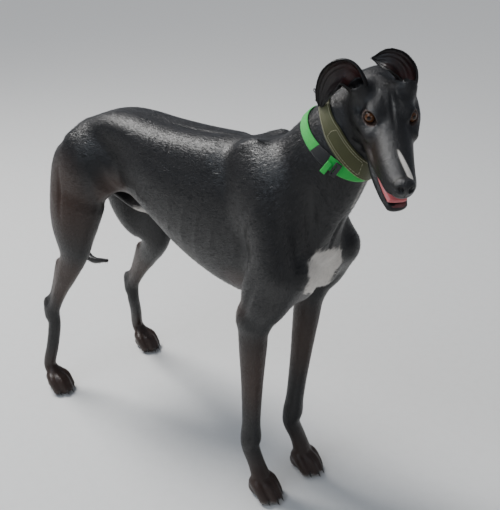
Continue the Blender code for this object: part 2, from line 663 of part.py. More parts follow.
def beyond(point, normal, radius, depth):
    """A box on the far side of a plane."""
    turn = Vector(normal).to_track_quat("Z", "Y").to_matrix()
    return block((-radius, -radius, -GAP / 2), (radius, radius, depth), point, turn)


def inflate(made, distance):
    """A copy pushed outwards along its normals."""
    copy = bpy.data.objects.new("cutter", made.data.copy())
    bpy_scene.collection.objects.link(copy)
    normals = [v.normal.copy() for v in copy.data.vertices]
    for v, n in zip(copy.data.vertices, normals):
        v.co += n * distance
    copy.data.update()
    return copy


def cut(made, cutters, operation="DIFFERENCE"):
    """Take the cutters away from a node, or join them to it, and keep its largest closed surface.

    EXACT leaves an edge that touches itself in some of these cuts, so the solver is MANIFOLD.
    """
    group = bpy.data.collections.new("Cutters")
    bpy_scene.collection.children.link(group)
    for c in cutters:
        bpy_scene.collection.objects.unlink(c)
        group.objects.link(c)
    change = made.modifiers.new("Cut", "BOOLEAN")
    change.operation = operation
    change.operand_type = "COLLECTION"
    change.collection = group
    change.solver = "MANIFOLD"
    bake(made)
    for c in cutters:
        bpy.data.objects.remove(c)
    bpy.data.collections.remove(group)
    return largest(made)


def largest(made):
    """Keep the closed surface with the largest volume."""
    mesh = made.data
    parent = list(range(len(mesh.vertices)))

    def root(i):
        while parent[i] != i:
            parent[i] = parent[parent[i]]
            i = parent[i]
        return i
    for edge in mesh.edges:
        a, b = root(edge.vertices[0]), root(edge.vertices[1])
        if a != b:
            parent[a] = b
    volume = {}
    for poly in mesh.polygons:
        corners = [mesh.vertices[i].co for i in poly.vertices]
        piece = sum(corners[0].dot(corners[i].cross(corners[i + 1])) for i in range(1, len(corners) - 1))
        key = root(poly.vertices[0])
        volume[key] = volume.get(key, 0.0) + piece
    best = max(volume, key=volume.get)
    keep = [i for i in range(len(mesh.vertices)) if root(i) == best]
    number = {old: new for new, old in enumerate(keep)}
    points = [tuple(mesh.vertices[i].co) for i in keep]
    faces = [[number[i] for i in p.vertices] for p in mesh.polygons if root(p.vertices[0]) == best]
    fresh = bpy.data.meshes.new(made.name)
    fresh.from_pydata(points, [], faces)
    fresh.update()
    made.data = fresh
    bpy.data.meshes.remove(mesh)
    return made


def sphere(name, centre, radius, segments=32, rings=16):
    points = [(0, 0, radius)]
    for i in range(1, rings):
        a = math.pi * i / rings
        points += [(radius * math.sin(a) * math.cos(b), radius * math.sin(a) * math.sin(b), radius * math.cos(a))
                   for b in (2 * math.pi * j / segments for j in range(segments))]
    points.append((0, 0, -radius))
    faces = [(0, 1 + j, 1 + (j + 1) % segments) for j in range(segments)]
    for i in range(rings - 2):
        a, b = 1 + i * segments, 1 + (i + 1) * segments
        faces += [(a + j, b + j, b + (j + 1) % segments, a + (j + 1) % segments) for j in range(segments)]
    last = len(points) - 1
    start = 1 + (rings - 2) * segments
    faces += [(last, start + (j + 1) % segments, start + j) for j in range(segments)]
    return add_object(name, [tuple(np.add(p, centre)) for p in points], faces)


# Where the body is parted

LOIN_X = -0.075
SHOULDER_X = 0.115
THIGH_Z = 0.470
ELBOW_Z = 0.415
FORE_PAW_Z = 0.112
HOCK_Z = 0.172
NECK_BASE = ((0.262, 0.0, 0.660), (0.66, 0.0, 0.75))
NECK_TOP = (tuple(np.array(OLIVE["centre"]) + 0.0210 * unit(OLIVE["normal"])), OLIVE["normal"])
LEG_INSIDE = 0.044
THIGH_INSIDE = 0.020

COAT = material("short black coat", (0.012, 0.012, 0.014), 0.38)
INNER_EAR = material("ear skin and coat", (0.020, 0.016, 0.016), 0.45)
EYE = material("amber brown eye", (0.12, 0.045, 0.012), 0.05)
TONGUE_PINK = material("wet tongue", (0.62, 0.20, 0.22), 0.25)
OLIVE_WEBBING = material("olive webbing", (0.10, 0.11, 0.035), 0.75)
GREEN_WEBBING = material("green webbing", (0.05, 0.55, 0.12), 0.60)
BLACK_PLASTIC = material("black plastic", (0.015, 0.015, 0.015), 0.40)
DARK_METAL = material("dark metal", (0.16, 0.16, 0.17), 0.30, 1.0)


def flip(normal):
    return tuple(-n for n in normal)


def claws(middle, size):
    """Short curved claws in front of the four toes."""
    x, y, _ = middle
    cutters = []
    for across, reach in ((-1.5, 0.030), (-0.5, 0.042), (0.5, 0.042), (1.5, 0.030)):
        root = np.array([x + reach * size + 0.0035, y + across * TOE_STEP * size, 0.0135])
        stations = [(0.0, 0.0, 0.0034), (0.0075, -0.0006, 0.0030), (CLAW_LENGTH, -0.0042, 0.0017),
                    (CLAW_LENGTH + 0.0035, -0.0075, 0.0006)]
        points, faces, sides = [], [], 5
        for forward, down, radius in stations:
            for j in range(sides):
                a = 2 * math.pi * j / sides
                points.append((root[0] + forward, root[1] + radius * math.cos(a), root[2] + down + radius * math.sin(a)))
        for i in range(len(stations) - 1):
            for j in range(sides):
                k = (j + 1) % sides
                faces.append((i * sides + j, i * sides + k, (i + 1) * sides + k, (i + 1) * sides + j))
        faces.append(tuple(range(sides))[::-1])
        faces.append(tuple(range(len(points) - sides, len(points))))
        cutters.append(add_object("cutter", points, faces))
    return cutters


def main():
    for old in list(bpy.data.objects):
        bpy.data.objects.remove(old)
    body = whole()
    nodes = {}

    def node(name, low, high, cell, triangles, cutters, steps=body, coat=COAT):
        made = from_field(name, steps, low, high, cell, triangles)
        nodes[name] = cut(made, cutters) if cutters else largest(made)
        nodes[name].data.materials.append(coat)
        return nodes[name]

    half = GAP / 2
    thighs = [block((-0.43, y, 0.30), (-0.03, y + 0.16, THIGH_Z - half)) for y in (THIGH_INSIDE - half, -THIGH_INSIDE + half - 0.16)]
    node("hindquarters", (-0.40, -0.16, 0.42), (LOIN_X + 0.02, 0.16, 0.72), 0.0065, 1320,
         thighs + [block((LOIN_X - half, -0.2, 0.3), (0.1, 0.2, 0.8))])
    node("trunk", (LOIN_X - 0.02, -0.13, 0.36), (SHOULDER_X + 0.02, 0.13, 0.73), 0.0075, 820,
         [block((-0.2, -0.2, 0.3), (LOIN_X + half, 0.2, 0.8)), block((SHOULDER_X - half, -0.2, 0.3), (0.3, 0.2, 0.8))])
    elbows = [block((0.12, y, 0.30), (0.34, y + 0.16, ELBOW_Z + half)) for y in (LEG_INSIDE - half, -LEG_INSIDE + half - 0.16)]
    node("chest", (SHOULDER_X - 0.02, -0.14, 0.37), (0.37, 0.14, 0.74), 0.0061, 1260,
         elbows + [block((0.0, -0.2, 0.3), (SHOULDER_X + half, 0.2, 0.8)), beyond(*NECK_BASE, 0.13, 0.15)])
    node("neck", (0.16, -0.12, 0.56), (0.43, 0.13, 0.84), 0.006, 1100,
         [beyond(NECK_BASE[0], flip(NECK_BASE[1]), 0.20, 0.2), beyond(*NECK_TOP, 0.13, 0.15)])
    node("head", (0.285, -0.125, 0.645), (0.530, 0.100, 0.860), 0.0021, 3600,
         [beyond(NECK_TOP[0], flip(NECK_TOP[1]), 0.14, 0.16)])
    for side, leg in (("right", FORE_RIGHT), ("left", FORE_LEFT)):
        k = -1 if side == "right" else 1
        inside = block((0.1, min(0, k * (LEG_INSIDE + half)), 0.3), (0.34, max(0, k * (LEG_INSIDE + half)), 0.5))
        y = sorted((k * 0.0, k * 0.125))
        node("foreleg_" + side, (0.16, y[0], FORE_PAW_Z - 0.02), (0.31, y[1], ELBOW_Z + 0.02), 0.0055, 560,
             [inside, block((0.0, -0.2, ELBOW_Z - half), (0.4, 0.2, 0.6)),
              block((0.0, -0.2, 0.0), (0.4, 0.2, FORE_PAW_Z + half))])
        f = leg["paw"]
        made = node("forepaw_" + side, (f[0] - 0.05, f[1] - 0.045, -0.008), (f[0] + 0.075, f[1] + 0.045, FORE_PAW_Z + 0.01),
                    0.0028, 400, [block((0.0, -0.2, FORE_PAW_Z - half), (0.4, 0.2, 0.3))])
        cut(made, claws(f, 1.0), "UNION")
        cut(made, [block((0.0, -0.2, -0.05), (0.4, 0.2, 0.0))])
    for side, leg in (("right", HIND_RIGHT), ("left", HIND_LEFT)):
        k = -1 if side == "right" else 1
        inside = block((-0.5, min(0, k * (THIGH_INSIDE + half)), 0.1), (0.0, max(0, k * (THIGH_INSIDE + half)), 0.6))
        y = sorted((0.0, k * 0.18))
        node("hindleg_" + side, (-0.42, y[0], HOCK_Z - 0.02), (-0.09, y[1], THIGH_Z + 0.02), 0.0055, 760,
             [inside, block((-0.5, -0.2, THIGH_Z - half), (0.0, 0.2, 0.6)),
              block((-0.5, -0.25, 0.0), (0.0, 0.25, HOCK_Z + half))])
        f = leg["paw"]
        made = node("hindfoot_" + side, (f[0] - 0.06, f[1] - 0.05, -0.008), (f[0] + 0.065, f[1] + 0.045, HOCK_Z + 0.01),
                    0.0028, 500, [block((-0.6, -0.25, HOCK_Z - half), (0.0, 0.25, 0.4))])
        cut(made, claws(f, 0.95), "UNION")
        cut(made, [block((-0.6, -0.25, -0.05), (0.0, 0.25, 0.0))])
    body_copy = inflate(nodes["hindquarters"], GAP)
    node("tail", (-0.41, -0.045, 0.30), (-0.225, 0.03, 0.60), 0.0035, 400, [body_copy], [("add", tube(TAIL), 0.01)])
    for name, k, rows in (("ear_right", -1, RIGHT_EAR), ("ear_left", 1, LEFT_EAR)):
        nodes[name] = cut(ear(name, rows), [inflate(nodes["head"], GAP)])
        nodes[name].data.materials.append(INNER_EAR)
    made = from_field("tongue", tongue(), (0.36, -0.10, 0.68), (0.49, 0.02, 0.76), 0.002, 260)
    nodes["tongue"] = largest(made)
    nodes["tongue"].data.materials.append(TONGUE_PINK)
    sockets = [inflate(nodes["tongue"], GAP)]
    for name, k in (("eye_right", -1), ("eye_left", 1)):
        ball = HEAD.out(eye_place(k)[0])
        nodes[name] = sphere(name, ball, EYE_RADIUS, 16, 8)
        nodes[name].data.materials.append(EYE)
        sockets.append(sphere("cutter", ball, EYE_RADIUS + 2 * GAP, 16, 8))
    cut(nodes["head"], sockets)
    for name, sizes, coat in (("collar_olive", OLIVE, OLIVE_WEBBING), ("collar_green", GREEN, GREEN_WEBBING)):
        inner = [inflate(nodes["neck"], GAP), inflate(nodes["ear_right"], GAP)]
        if name == "collar_green":
            room = dict(OLIVE, width_front=OLIVE["width_front"] + 2 * GAP, width_back=OLIVE["width_back"] + 2 * GAP)
            inner.append(strap("cutter", low=-0.004, high=0.007, **room))
        nodes[name] = cut(strap(name, **sizes), inner)
        nodes[name].data.materials.append(coat)
    green, olive = GREEN["normal"], OLIVE["normal"]
    for name, made, coat in (
            ("collar_slider", plate("collar_slider", SLIDER, green, (0.023, 0.011), 0.0034), BLACK_PLASTIC),
            ("collar_keeper", plate("collar_keeper", KEEPER, green, (0.021, 0.009), 0.0030), GREEN_WEBBING),
            ("collar_buckle", plate("collar_buckle", BUCKLE, olive, (0.0225, 0.018), 0.0034, (0.0145, 0.009)), DARK_METAL),
            ("collar_ring", ring("collar_ring", RING, olive, RING_RADIUS, RING_WIRE), DARK_METAL)):
        nodes[name] = made
        made.data.materials.append(coat)
    points = np.array([tuple(v.co) for made in nodes.values() for v in made.data.vertices])
    middle = (points.min(0) + points.max(0)) / 2
    for made in nodes.values():
        made.location = (-middle[0], -middle[1], 0.0)
    return nodes


main()
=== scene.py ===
# A standing greyhound as a still, life-size model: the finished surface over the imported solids.
# One skin follows the body's distance field, just inside the solids, with short flat tufts over it.
import itertools
import math
import bmesh
import bpy
import numpy as np
from mathutils import Matrix, Vector


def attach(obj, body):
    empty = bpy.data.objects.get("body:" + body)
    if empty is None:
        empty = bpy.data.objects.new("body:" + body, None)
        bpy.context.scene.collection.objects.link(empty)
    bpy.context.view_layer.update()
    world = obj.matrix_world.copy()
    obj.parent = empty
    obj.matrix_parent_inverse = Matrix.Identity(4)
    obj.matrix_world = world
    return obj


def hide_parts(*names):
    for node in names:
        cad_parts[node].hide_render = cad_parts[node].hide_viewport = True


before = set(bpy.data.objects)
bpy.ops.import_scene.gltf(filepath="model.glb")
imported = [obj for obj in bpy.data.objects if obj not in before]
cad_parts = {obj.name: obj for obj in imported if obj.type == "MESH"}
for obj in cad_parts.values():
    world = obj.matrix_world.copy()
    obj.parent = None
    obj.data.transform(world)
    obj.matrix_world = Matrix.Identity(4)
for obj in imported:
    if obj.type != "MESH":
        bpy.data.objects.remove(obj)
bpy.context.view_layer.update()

FAR = 1.0
MARGIN = 0.05
SHIFT = np.array([-0.0578, -0.00819, 0.0])

# Sizes taken from the species: an adult male, 0.71 at the withers
EYE_RADIUS = 0.0108
EYE_SIDE = 0.0325
EYE_SINK = 0.0098
LID_THICK = 0.0022
TOE_STEP = 0.0135
CLAW_LENGTH = 0.009
CLAW_HEIGHT = 0.0135
CLAW_AHEAD = 0.0035
BAND_THICK = 0.0032
# How far the skin lies inside the solids, and how far a tuft's root lies inside the skin
COAT_DEPTH = 0.0014
ROOT_DEPTH = 0.0003

# Joints, before the part is centred on its origin. Y is to the dog's left.
FORE_RIGHT = dict(elbow=(0.224, -0.077, 0.392), carpus=(0.216, -0.074, 0.135), paw=(0.232, -0.068, 0))
FORE_LEFT = dict(elbow=(0.232, 0.076, 0.392), carpus=(0.227, 0.043, 0.133), paw=(0.247, 0.046, 0))
HIND_RIGHT = dict(hip=(-0.242, -0.057, 0.566), stifle=(-0.254, -0.087, 0.4),
                  hock=(-0.357, -0.102, 0.2), paw=(-0.356, -0.118, 0))
HIND_LEFT = dict(hip=(-0.25, 0.057, 0.566), stifle=(-0.188, 0.084, 0.386),
                 hock=(-0.328, 0.112, 0.19), paw=(-0.331, 0.135, 0))
EYE_MIDDLE = (0.428, -0.016, 0.789)
HEAD_YAW = -45.2
HEAD_PITCH = 27.0


# Field tools

def unit(v):
    v = np.asarray(v, float)
    return v / np.linalg.norm(v)


def smooth_union(a, b, blend):
    reach = np.maximum(blend - np.abs(a - b), 0.0)
    return np.minimum(a, b) - reach * reach / (4.0 * blend)


def smooth_cut(a, b, blend):
    return -smooth_union(-a, b, blend)


def curve(points, steps=4):
    """Rows of numbers along a Catmull-Rom curve through the given rows."""
    rows = np.asarray(points, float)
    rows = np.vstack([2 * rows[0] - rows[1], rows, 2 * rows[-1] - rows[-2]])
    out = []
    for i in range(1, len(rows) - 2):
        a, b, c, d = rows[i - 1:i + 3]
        for t in np.arange(steps) / steps:
            out.append(0.5 * (2 * b + (c - a) * t + (2 * a - 5 * b + 4 * c - d) * t * t
                              + (3 * b - a - 3 * c + d) * t ** 3))
    out.append(rows[-2])
    return np.array(out)


def axes_of(along, side):
    x = unit(along)
    y = np.asarray(side, float)
    y = unit(y - x * (y @ x))
    return np.array([x, y, np.cross(x, y)])


def ellipsoid(centre, radii, along=(1, 0, 0), side=(0, 1, 0)):
    """Radii run along, to the side, and across both."""
    centre, radii = np.asarray(centre, float), np.asarray(radii, float)
    turn = axes_of(along, side)

    def measure(p):
        q = (p - centre) @ turn.T
        k0 = np.sqrt(((q / radii) ** 2).sum(1))
        k1 = np.sqrt(((q / radii ** 2) ** 2).sum(1))
        return k0 * (k0 - 1.0) / np.maximum(k1, 1e-9)
    reach = np.sqrt(((turn.T * radii) ** 2).sum(1))
    return centre - reach, centre + reach, measure


def tube(points, side=(0, 1, 0), steps=8):
    """An elliptical tube. Each row: x, y, z, radius to the side, radius across."""
    rows = curve(points, steps)
    side = np.asarray(side, float)

    def measure(p):
        best = np.full(len(p), FAR)
        for a, b in zip(rows[:-1], rows[1:]):
            line = b[:3] - a[:3]
            length = np.linalg.norm(line)
            t, s, n = axes_of(line, side)
            q = p - a[:3]
            along = q @ t
            h = np.clip(along / length, 0.0, 1.0)
            rs = a[3] + (b[3] - a[3]) * h
            rn = a[4] + (b[4] - a[4]) * h
            u, v, w = q @ s, q @ n, along - h * length
            size = np.sqrt(u * u + v * v + w * w) + 1e-9
            k = np.sqrt((u / rs) ** 2 + (v / rn) ** 2 + (w / np.minimum(rs, rn)) ** 2) + 1e-9
            best = np.minimum(best, size - size / k)
        return best
    r = rows[:, 3:].max(1)[:, None]
    return (rows[:, :3] - r).min(0), (rows[:, :3] + r).max(0), measure


def profile(stations):
    """A body along X. Each row: x, half width, top, bottom, and how much wider it is above."""
    rows = curve(stations, 6)
    rows = rows[np.argsort(rows[:, 0])]

    def measure(p):
        x = np.clip(p[:, 0], rows[0, 0], rows[-1, 0])
        w, top, low, egg = (np.interp(x, rows[:, 0], rows[:, i]) for i in (1, 2, 3, 4))
        mid, h = (top + low) / 2, (top - low) / 2
        v = (p[:, 2] - mid) / h
        u = p[:, 1] / (w * (1 + egg * np.clip(v, -1.2, 1.2)))
        k = np.sqrt(u * u + v * v) + 1e-9
        size = np.sqrt(p[:, 1] ** 2 + (p[:, 2] - mid) ** 2) + 1e-9
        d = size - size / k
        over = np.abs(p[:, 0] - x)
        return np.where(over > 0, np.sqrt(np.maximum(d, 0) ** 2 + over ** 2), d)
    w = rows[:, 1].max() * 1.3
    low = np.array([rows[0, 0], -w, rows[:, 3].min()])
    return low, np.array([rows[-1, 0], w, rows[:, 2].max()]), measure


def swell(centre, radii, height, along=(1, 0, 0), side=(0, 1, 0)):
    """A step that swells the surface softly, or hollows it where height is negative."""
    centre, radii = np.asarray(centre, float), np.asarray(radii, float)
    turn = axes_of(along, side)

    def measure(p):
        q = (((p - centre) @ turn.T / radii) ** 2).sum(1)
        return height * np.maximum(1.0 - q, 0.0) ** 2
    reach = np.sqrt(((turn.T * radii) ** 2).sum(1))
    return "swell", (centre - reach, centre + reach, measure), 0


def add(shape, blend):
    """A step that joins a shape to the body. The blend is how far the join reaches."""
    return "add", shape, blend


def cut(shape, blend):
    return "cut", shape, blend


def evaluate(p, steps):
    """Steps are rows of a kind (add, cut or swell), a shape and a blend length."""
    d = np.full(len(p), FAR)
    for kind, (low, high, measure), blend in steps:
        margin = 0.0 if kind == "swell" else MARGIN
        i = np.nonzero(((p > low - margin) & (p < high + margin)).all(1))[0]
        if not len(i):
            continue
        m = measure(p[i])
        if kind == "add":
            d[i] = smooth_union(d[i], m, blend)
        elif kind == "cut":
            d[i] = smooth_cut(d[i], m, blend)
        else:
            d[i] -= m
    return d


# The head's own frame: u forward, v to its left, w up, from the middle of the eyes

class Frame:
    def __init__(self, origin, yaw, pitch):
        turn = Matrix.Rotation(math.radians(yaw), 3, "Z") @ Matrix.Rotation(math.radians(pitch), 3, "Y")
        self.turn = np.array(turn)
        self.origin = np.asarray(origin, float)

    def out(self, p):
        return self.origin + np.asarray(p, float) @ self.turn.T

    def into(self, p):
        return (p - self.origin) @ self.turn

    def place(self, steps):
        """Steps given in this frame, as steps in the dog's."""
        placed = []
        for kind, (low, high, measure), blend in steps:
            corners = self.out(list(itertools.product(*zip(low, high))))
            placed.append((kind, (corners.min(0), corners.max(0),
                                  lambda p, measure=measure: measure(self.into(p))), blend))
        return placed


HEAD = Frame(EYE_MIDDLE, HEAD_YAW, HEAD_PITCH)


# The body

def trunk():
    steps = [add(profile([(0.318, 0.028, 0.58, 0.522, 0.0), (0.304, 0.042, 0.62, 0.482, 0.05),
                          (0.28, 0.056, 0.658, 0.446, 0.1), (0.235, 0.068, 0.688, 0.415, 0.12),
                          (0.18, 0.077, 0.703, 0.399, 0.14), (0.1, 0.087, 0.692, 0.405, 0.16),
                          (0.02, 0.09, 0.683, 0.434, 0.14), (-0.06, 0.081, 0.683, 0.48, 0.1),
                          (-0.13, 0.065, 0.686, 0.51, 0.05), (-0.2, 0.057, 0.678, 0.522, 0.0),
                          (-0.265, 0.056, 0.644, 0.522, 0.05), (-0.309, 0.048, 0.603, 0.522, 0.1),
                          (-0.341, 0.034, 0.57, 0.528, 0.1)]), 0.02)]
    for k, out in ((-1, 0.0), (1, 0.014)):
        steps += [
            add(tube([(0.1, k * 0.03, 0.656, 0.026, 0.026),
                      (-0.05, k * 0.032, 0.652, 0.028, 0.026),
                      (-0.16, k * 0.03, 0.655, 0.028, 0.026),
                      (-0.24, k * 0.028, 0.634, 0.028, 0.026)]), 0.03),
            add(tube([(0.18, k * 0.036, 0.69, 0.016, 0.03), (0.215, k * 0.056, 0.64, 0.026, 0.046),
                      (0.256, k * 0.068, 0.57, 0.03, 0.046),
                      (0.288, k * 0.068 + out, 0.512, 0.032, 0.036)]), 0.03),
            add(ellipsoid((0.246, k * 0.078, 0.48), (0.08, 0.028, 0.038), (0.32, 0, 0.92)), 0.03),
            add(tube([(0.288, k * 0.066 + out, 0.505, 0.032, 0.034),
                      (0.262, k * 0.074 + out, 0.45, 0.029, 0.033),
                      (0.235, k * 0.077, 0.408, 0.027, 0.027)]), 0.025),
            add(ellipsoid((0.284, k * 0.032, 0.5), (0.038, 0.034, 0.055)), 0.025),
            add(ellipsoid((-0.232, k * 0.06, 0.568), (0.078, 0.042, 0.068), (1, 0, -0.4)), 0.04),
            add(ellipsoid((-0.308, k * 0.04, 0.546), (0.036, 0.03, 0.042)), 0.03)]
    steps += [add(tube([(-0.235, 0, 0.512, 0.014, 0.014), (-0.195, 0, 0.5, 0.0125, 0.015),
                        (-0.155, 0, 0.489, 0.011, 0.013), (-0.12, 0, 0.487, 0.008, 0.009)]), 0.016),
              add(ellipsoid((-0.16, 0, 0.503), (0.036, 0.009, 0.016)), 0.012)]
    return steps


def neck():
    return [add(tube([(0.235, 0, 0.59, 0.07, 0.088), (0.278, 0.004, 0.65, 0.065, 0.085),
                      (0.312, 0.012, 0.705, 0.058, 0.073), (0.338, 0.024, 0.752, 0.052, 0.061),
                      (0.36, 0.034, 0.79, 0.047, 0.05)]), 0.04)]


# Each toe's place across the paw, in steps, and how far it reaches ahead of the paw's middle
TOES = ((-1.5, 0.03), (-0.5, 0.042), (0.5, 0.042), (1.5, 0.03))
HIND_PAW = 0.95


def paw(middle, size):
    """Four arched toes in a row, with the pad under them."""
    x, y, _ = middle
    steps = []
    for across, reach in TOES:
        side = y + across * TOE_STEP * size
        steps.append(add(tube([(x - 0.002, y + across * 0.009 * size, 0.036, 0.0115, 0.013),
                               (x + (reach - 0.016) * size, side, 0.03, 0.0105, 0.0125),
                               (x + reach * size, side, 0.0112, 0.0098, 0.0122)], steps=3), 0.006))
    steps.append(add(ellipsoid((x + 0.002, y, 0.014), (0.026, 0.021, 0.0165)), 0.012))
    return steps


def fore_leg(elbow, carpus, paw_at):
    e, c, f = map(np.array, (elbow, carpus, paw_at))

    def at(t, side, across):
        return tuple(e + (c - e) * t) + (side, across)
    line = [at(-0.02, 0.0285, 0.0295), at(0.2, 0.0255, 0.027), at(0.45, 0.0215, 0.023),
            at(0.7, 0.019, 0.02), at(0.88, 0.019, 0.019), at(1.0, 0.022, 0.0205), at(1.1, 0.019, 0.018),
            (f[0] - 0.008, f[1], 0.072, 0.0185, 0.016), (f[0] + 0.004, f[1], 0.045, 0.021, 0.017)]
    return [add(tube(line), 0.02),
            add(ellipsoid((e[0] - 0.009, e[1], e[2] + 0.018), (0.017, 0.015, 0.022)), 0.02)] + paw(f, 1.0)


def hind_leg(hip, stifle, hock, paw_at):
    h, s, k, f = map(np.array, (hip, stifle, hock, paw_at))
    middle, down = (h + s) / 2, unit(s - h)
    back = np.array([1.0, 0, 0])

    def shank(t, side, across, shift=0.0):
        return tuple(s + (k - s) * t + back * shift) + (side, across)
    line = [tuple(h + (s - h) * 0.5) + (0.038, 0.052), tuple(s + (0, 0, 0.03)) + (0.03, 0.036),
            tuple(s + (-0.01, 0, -0.02)) + (0.0265, 0.033), shank(0.4, 0.0215, 0.027),
            shank(0.66, 0.016, 0.018), shank(0.88, 0.0138, 0.015), shank(1.0, 0.0155, 0.0185),
            tuple(k + (0.0, 0, -0.035)) + (0.0145, 0.0165),
            (k[0] * 0.6 + f[0] * 0.4 - 0.007, (k[1] + f[1]) / 2, 0.11, 0.014, 0.0165),
            (f[0] - 0.017, f[1], 0.06, 0.015, 0.016), (f[0] - 0.002, f[1], 0.04, 0.0185, 0.0155)]
    cord = [shank(0.32, 0.013, 0.015, -0.026), shank(0.75, 0.006, 0.008, -0.021),
            tuple(k + (-0.018, 0, 0.02)) + (0.008, 0.0095), tuple(k + (-0.01, 0, -0.01)) + (0.012, 0.012)]
    inner = middle + (-0.03, -0.022 * np.sign(h[1]), -0.03)
    return [add(ellipsoid(middle + (-0.01, 0, 0.006), (0.118, 0.039, 0.055), down), 0.035),
            add(ellipsoid(middle + (-0.04, 0, 0.004), (0.105, 0.033, 0.04), unit(down + 0.1 * back)), 0.03),
            add(ellipsoid(inner, (0.075, 0.022, 0.045), down), 0.03),
            add(tube(line), 0.02), add(tube(cord), 0.012)] + paw(f, HIND_PAW)


TAIL_ROOT = [(-0.318, 0, 0.572, 0.024, 0.026), (-0.35, 0, 0.556, 0.02, 0.0205)]
TAIL = [(-0.345, 0, 0.56, 0.02, 0.0205), (-0.374, 0, 0.518, 0.016, 0.0165),
        (-0.383, 0, 0.455, 0.0135, 0.0135), (-0.378, -0.004, 0.395, 0.0115, 0.0115),
        (-0.352, -0.01, 0.345, 0.01, 0.01), (-0.305, -0.018, 0.321, 0.0085, 0.0085),
        (-0.247, -0.02, 0.336, 0.0045, 0.0045)]


# Ears: a folded sheet along a centre line, open on one side

# Each row: u, v, w; the way the cup faces; radius; half angles to the lower and the upper rim, in degrees
RIGHT_EAR = [(-0.06, -0.037, 0.004, 0.9, -0.2, 0.4, 0.012, 150, 150),
             (-0.066, -0.047, 0.018, 0.9, -0.2, 0.45, 0.015, 132, 122),
             (-0.073, -0.059, 0.024, 0.85, -0.2, 0.5, 0.018, 124, 88),
             (-0.078, -0.071, 0.016, 0.8, -0.2, 0.5, 0.019, 118, 68),
             (-0.081, -0.08, 0.002, 0.8, -0.3, 0.45, 0.018, 100, 55),
             (-0.08, -0.085, -0.015, 0.8, -0.4, 0.35, 0.016, 76, 48),
             (-0.077, -0.087, -0.032, 0.8, -0.5, 0.25, 0.0135, 52, 42),
             (-0.074, -0.088, -0.045, 0.8, -0.5, 0.2, 0.011, 20, 18)]
LEFT_EAR = [(-0.056, 0.027, 0.004, 0.9, 0.0, 0.4, 0.012, 150, 150),
            (-0.066, 0.028, 0.016, 0.9, 0.0, 0.45, 0.014, 128, 122),
            (-0.074, 0.024, 0.026, 0.85, 0.0, 0.5, 0.0165, 118, 80),
            (-0.081, 0.015, 0.033, 0.75, 0.0, 0.6, 0.018, 106, 60),
            (-0.087, 0.004, 0.034, 0.7, 0.0, 0.7, 0.017, 88, 52),
            (-0.091, -0.008, 0.031, 0.7, 0.0, 0.7, 0.0135, 52, 40),
            (-0.094, -0.018, 0.029, 0.7, 0.0, 0.7, 0.008, 15, 14)]


def cross_ways(line, facing):
    """The way along the sheet, across it, and into its cup."""
    t = unit(line)
    b = unit(facing - t * (facing @ t))
    return t, np.cross(t, b), b


def ear_axis(rows):
    """The middle of the rolled part of the sheet at its first three rows."""
    line = np.array(rows)[:3]
    out = []
    for i, row in enumerate(line):
        _, _, b = cross_ways(line[min(i + 1, 2), :3] - line[max(i - 1, 0), :3], row[3:6])
        out.append(row[:3] + row[6] * b)
    return out


# The head, in its own frame

NOSE = (0.118, -0.001, -0.012)


def skull():
    steps = [add(ellipsoid((-0.052, 0, -0.02), (0.056, 0.043, 0.037)), 0.02),
             add(ellipsoid((-0.094, 0, -0.01), (0.018, 0.016, 0.018)), 0.015),
             add(tube([(-0.04, 0, -0.022, 0.037, 0.038), (0.0, 0, -0.0205, 0.035, 0.031),
                       (0.03, 0.0, -0.022, 0.03, 0.026), (0.065, -0.001, -0.0222, 0.0265, 0.0218),
                       (0.098, -0.001, -0.0228, 0.0225, 0.0195),
                       (0.11, -0.001, -0.0225, 0.0195, 0.0175)]), 0.02),
             add(ellipsoid((-0.062, 0, -0.06), (0.042, 0.036, 0.032)), 0.03)]
    for k in (-1, 1):
        steps += [add(ellipsoid((-0.014, k * 0.023, 0.003), (0.022, 0.012, 0.01)), 0.012),
                  add(tube([(0.014, k * 0.031, -0.02, 0.01, 0.01),
                            (-0.02, k * 0.041, -0.018, 0.009, 0.01),
                            (-0.055, k * 0.041, -0.018, 0.01, 0.01)]), 0.012),
                  add(ellipsoid((-0.04, k * 0.034, -0.044), (0.038, 0.016, 0.03)), 0.015)]
    return steps


def jaws():
    """The lower jaw, the open mouth, and the lips that hang over its sides."""
    steps = [add(tube([(-0.045, 0, -0.052, 0.034, 0.026), (0.005, 0, -0.062, 0.03, 0.016),
                       (0.04, 0.0, -0.0705, 0.0275, 0.012),
                       (0.073, 0.003, -0.0785, 0.0225, 0.0105),
                       (0.093, 0.006, -0.083, 0.0175, 0.0095)]), 0.012),
             cut(tube([(0.012, 0, -0.05, 0.036, 0.003), (0.05, 0, -0.0555, 0.036, 0.008),
                       (0.085, 0, -0.06, 0.034, 0.0145), (0.13, 0, -0.065, 0.034, 0.02)]), 0.004)]
    for k in (-1, 1):
        steps.append(add(tube([(-0.02, k * 0.029, -0.042, 0.006, 0.007),
                               (0.005, k * 0.03, -0.041, 0.0075, 0.008),
                               (0.04, k * 0.027, -0.04, 0.007, 0.0085),
                               (0.075, k * 0.021, -0.037, 0.006, 0.0085),
                               (0.102, k * 0.014, -0.033, 0.006, 0.007)]), 0.012))
    return steps


def nose():
    u, v, w = NOSE
    steps = [add(ellipsoid(NOSE, (0.0125, 0.0165, 0.0125)), 0.006),
             swell((u + 0.013, v, w - 0.008), (0.012, 0.0025, 0.016), -0.0012)]
    for k in (-1, 1):
        nostril = ellipsoid((u + 0.01, v + k * 0.008, w + 0.001), (0.007, 0.0034, 0.004), (1, k * 0.3, 0))
        slit = tube([(u + 0.008, v + k * 0.01, w, 0.0016, 0.0016),
                     (u + 0.001, v + k * 0.0165, w - 0.0025, 0.0012, 0.0012)])
        steps += [cut(nostril, 0.002), cut(slit, 0.002)]
    return steps


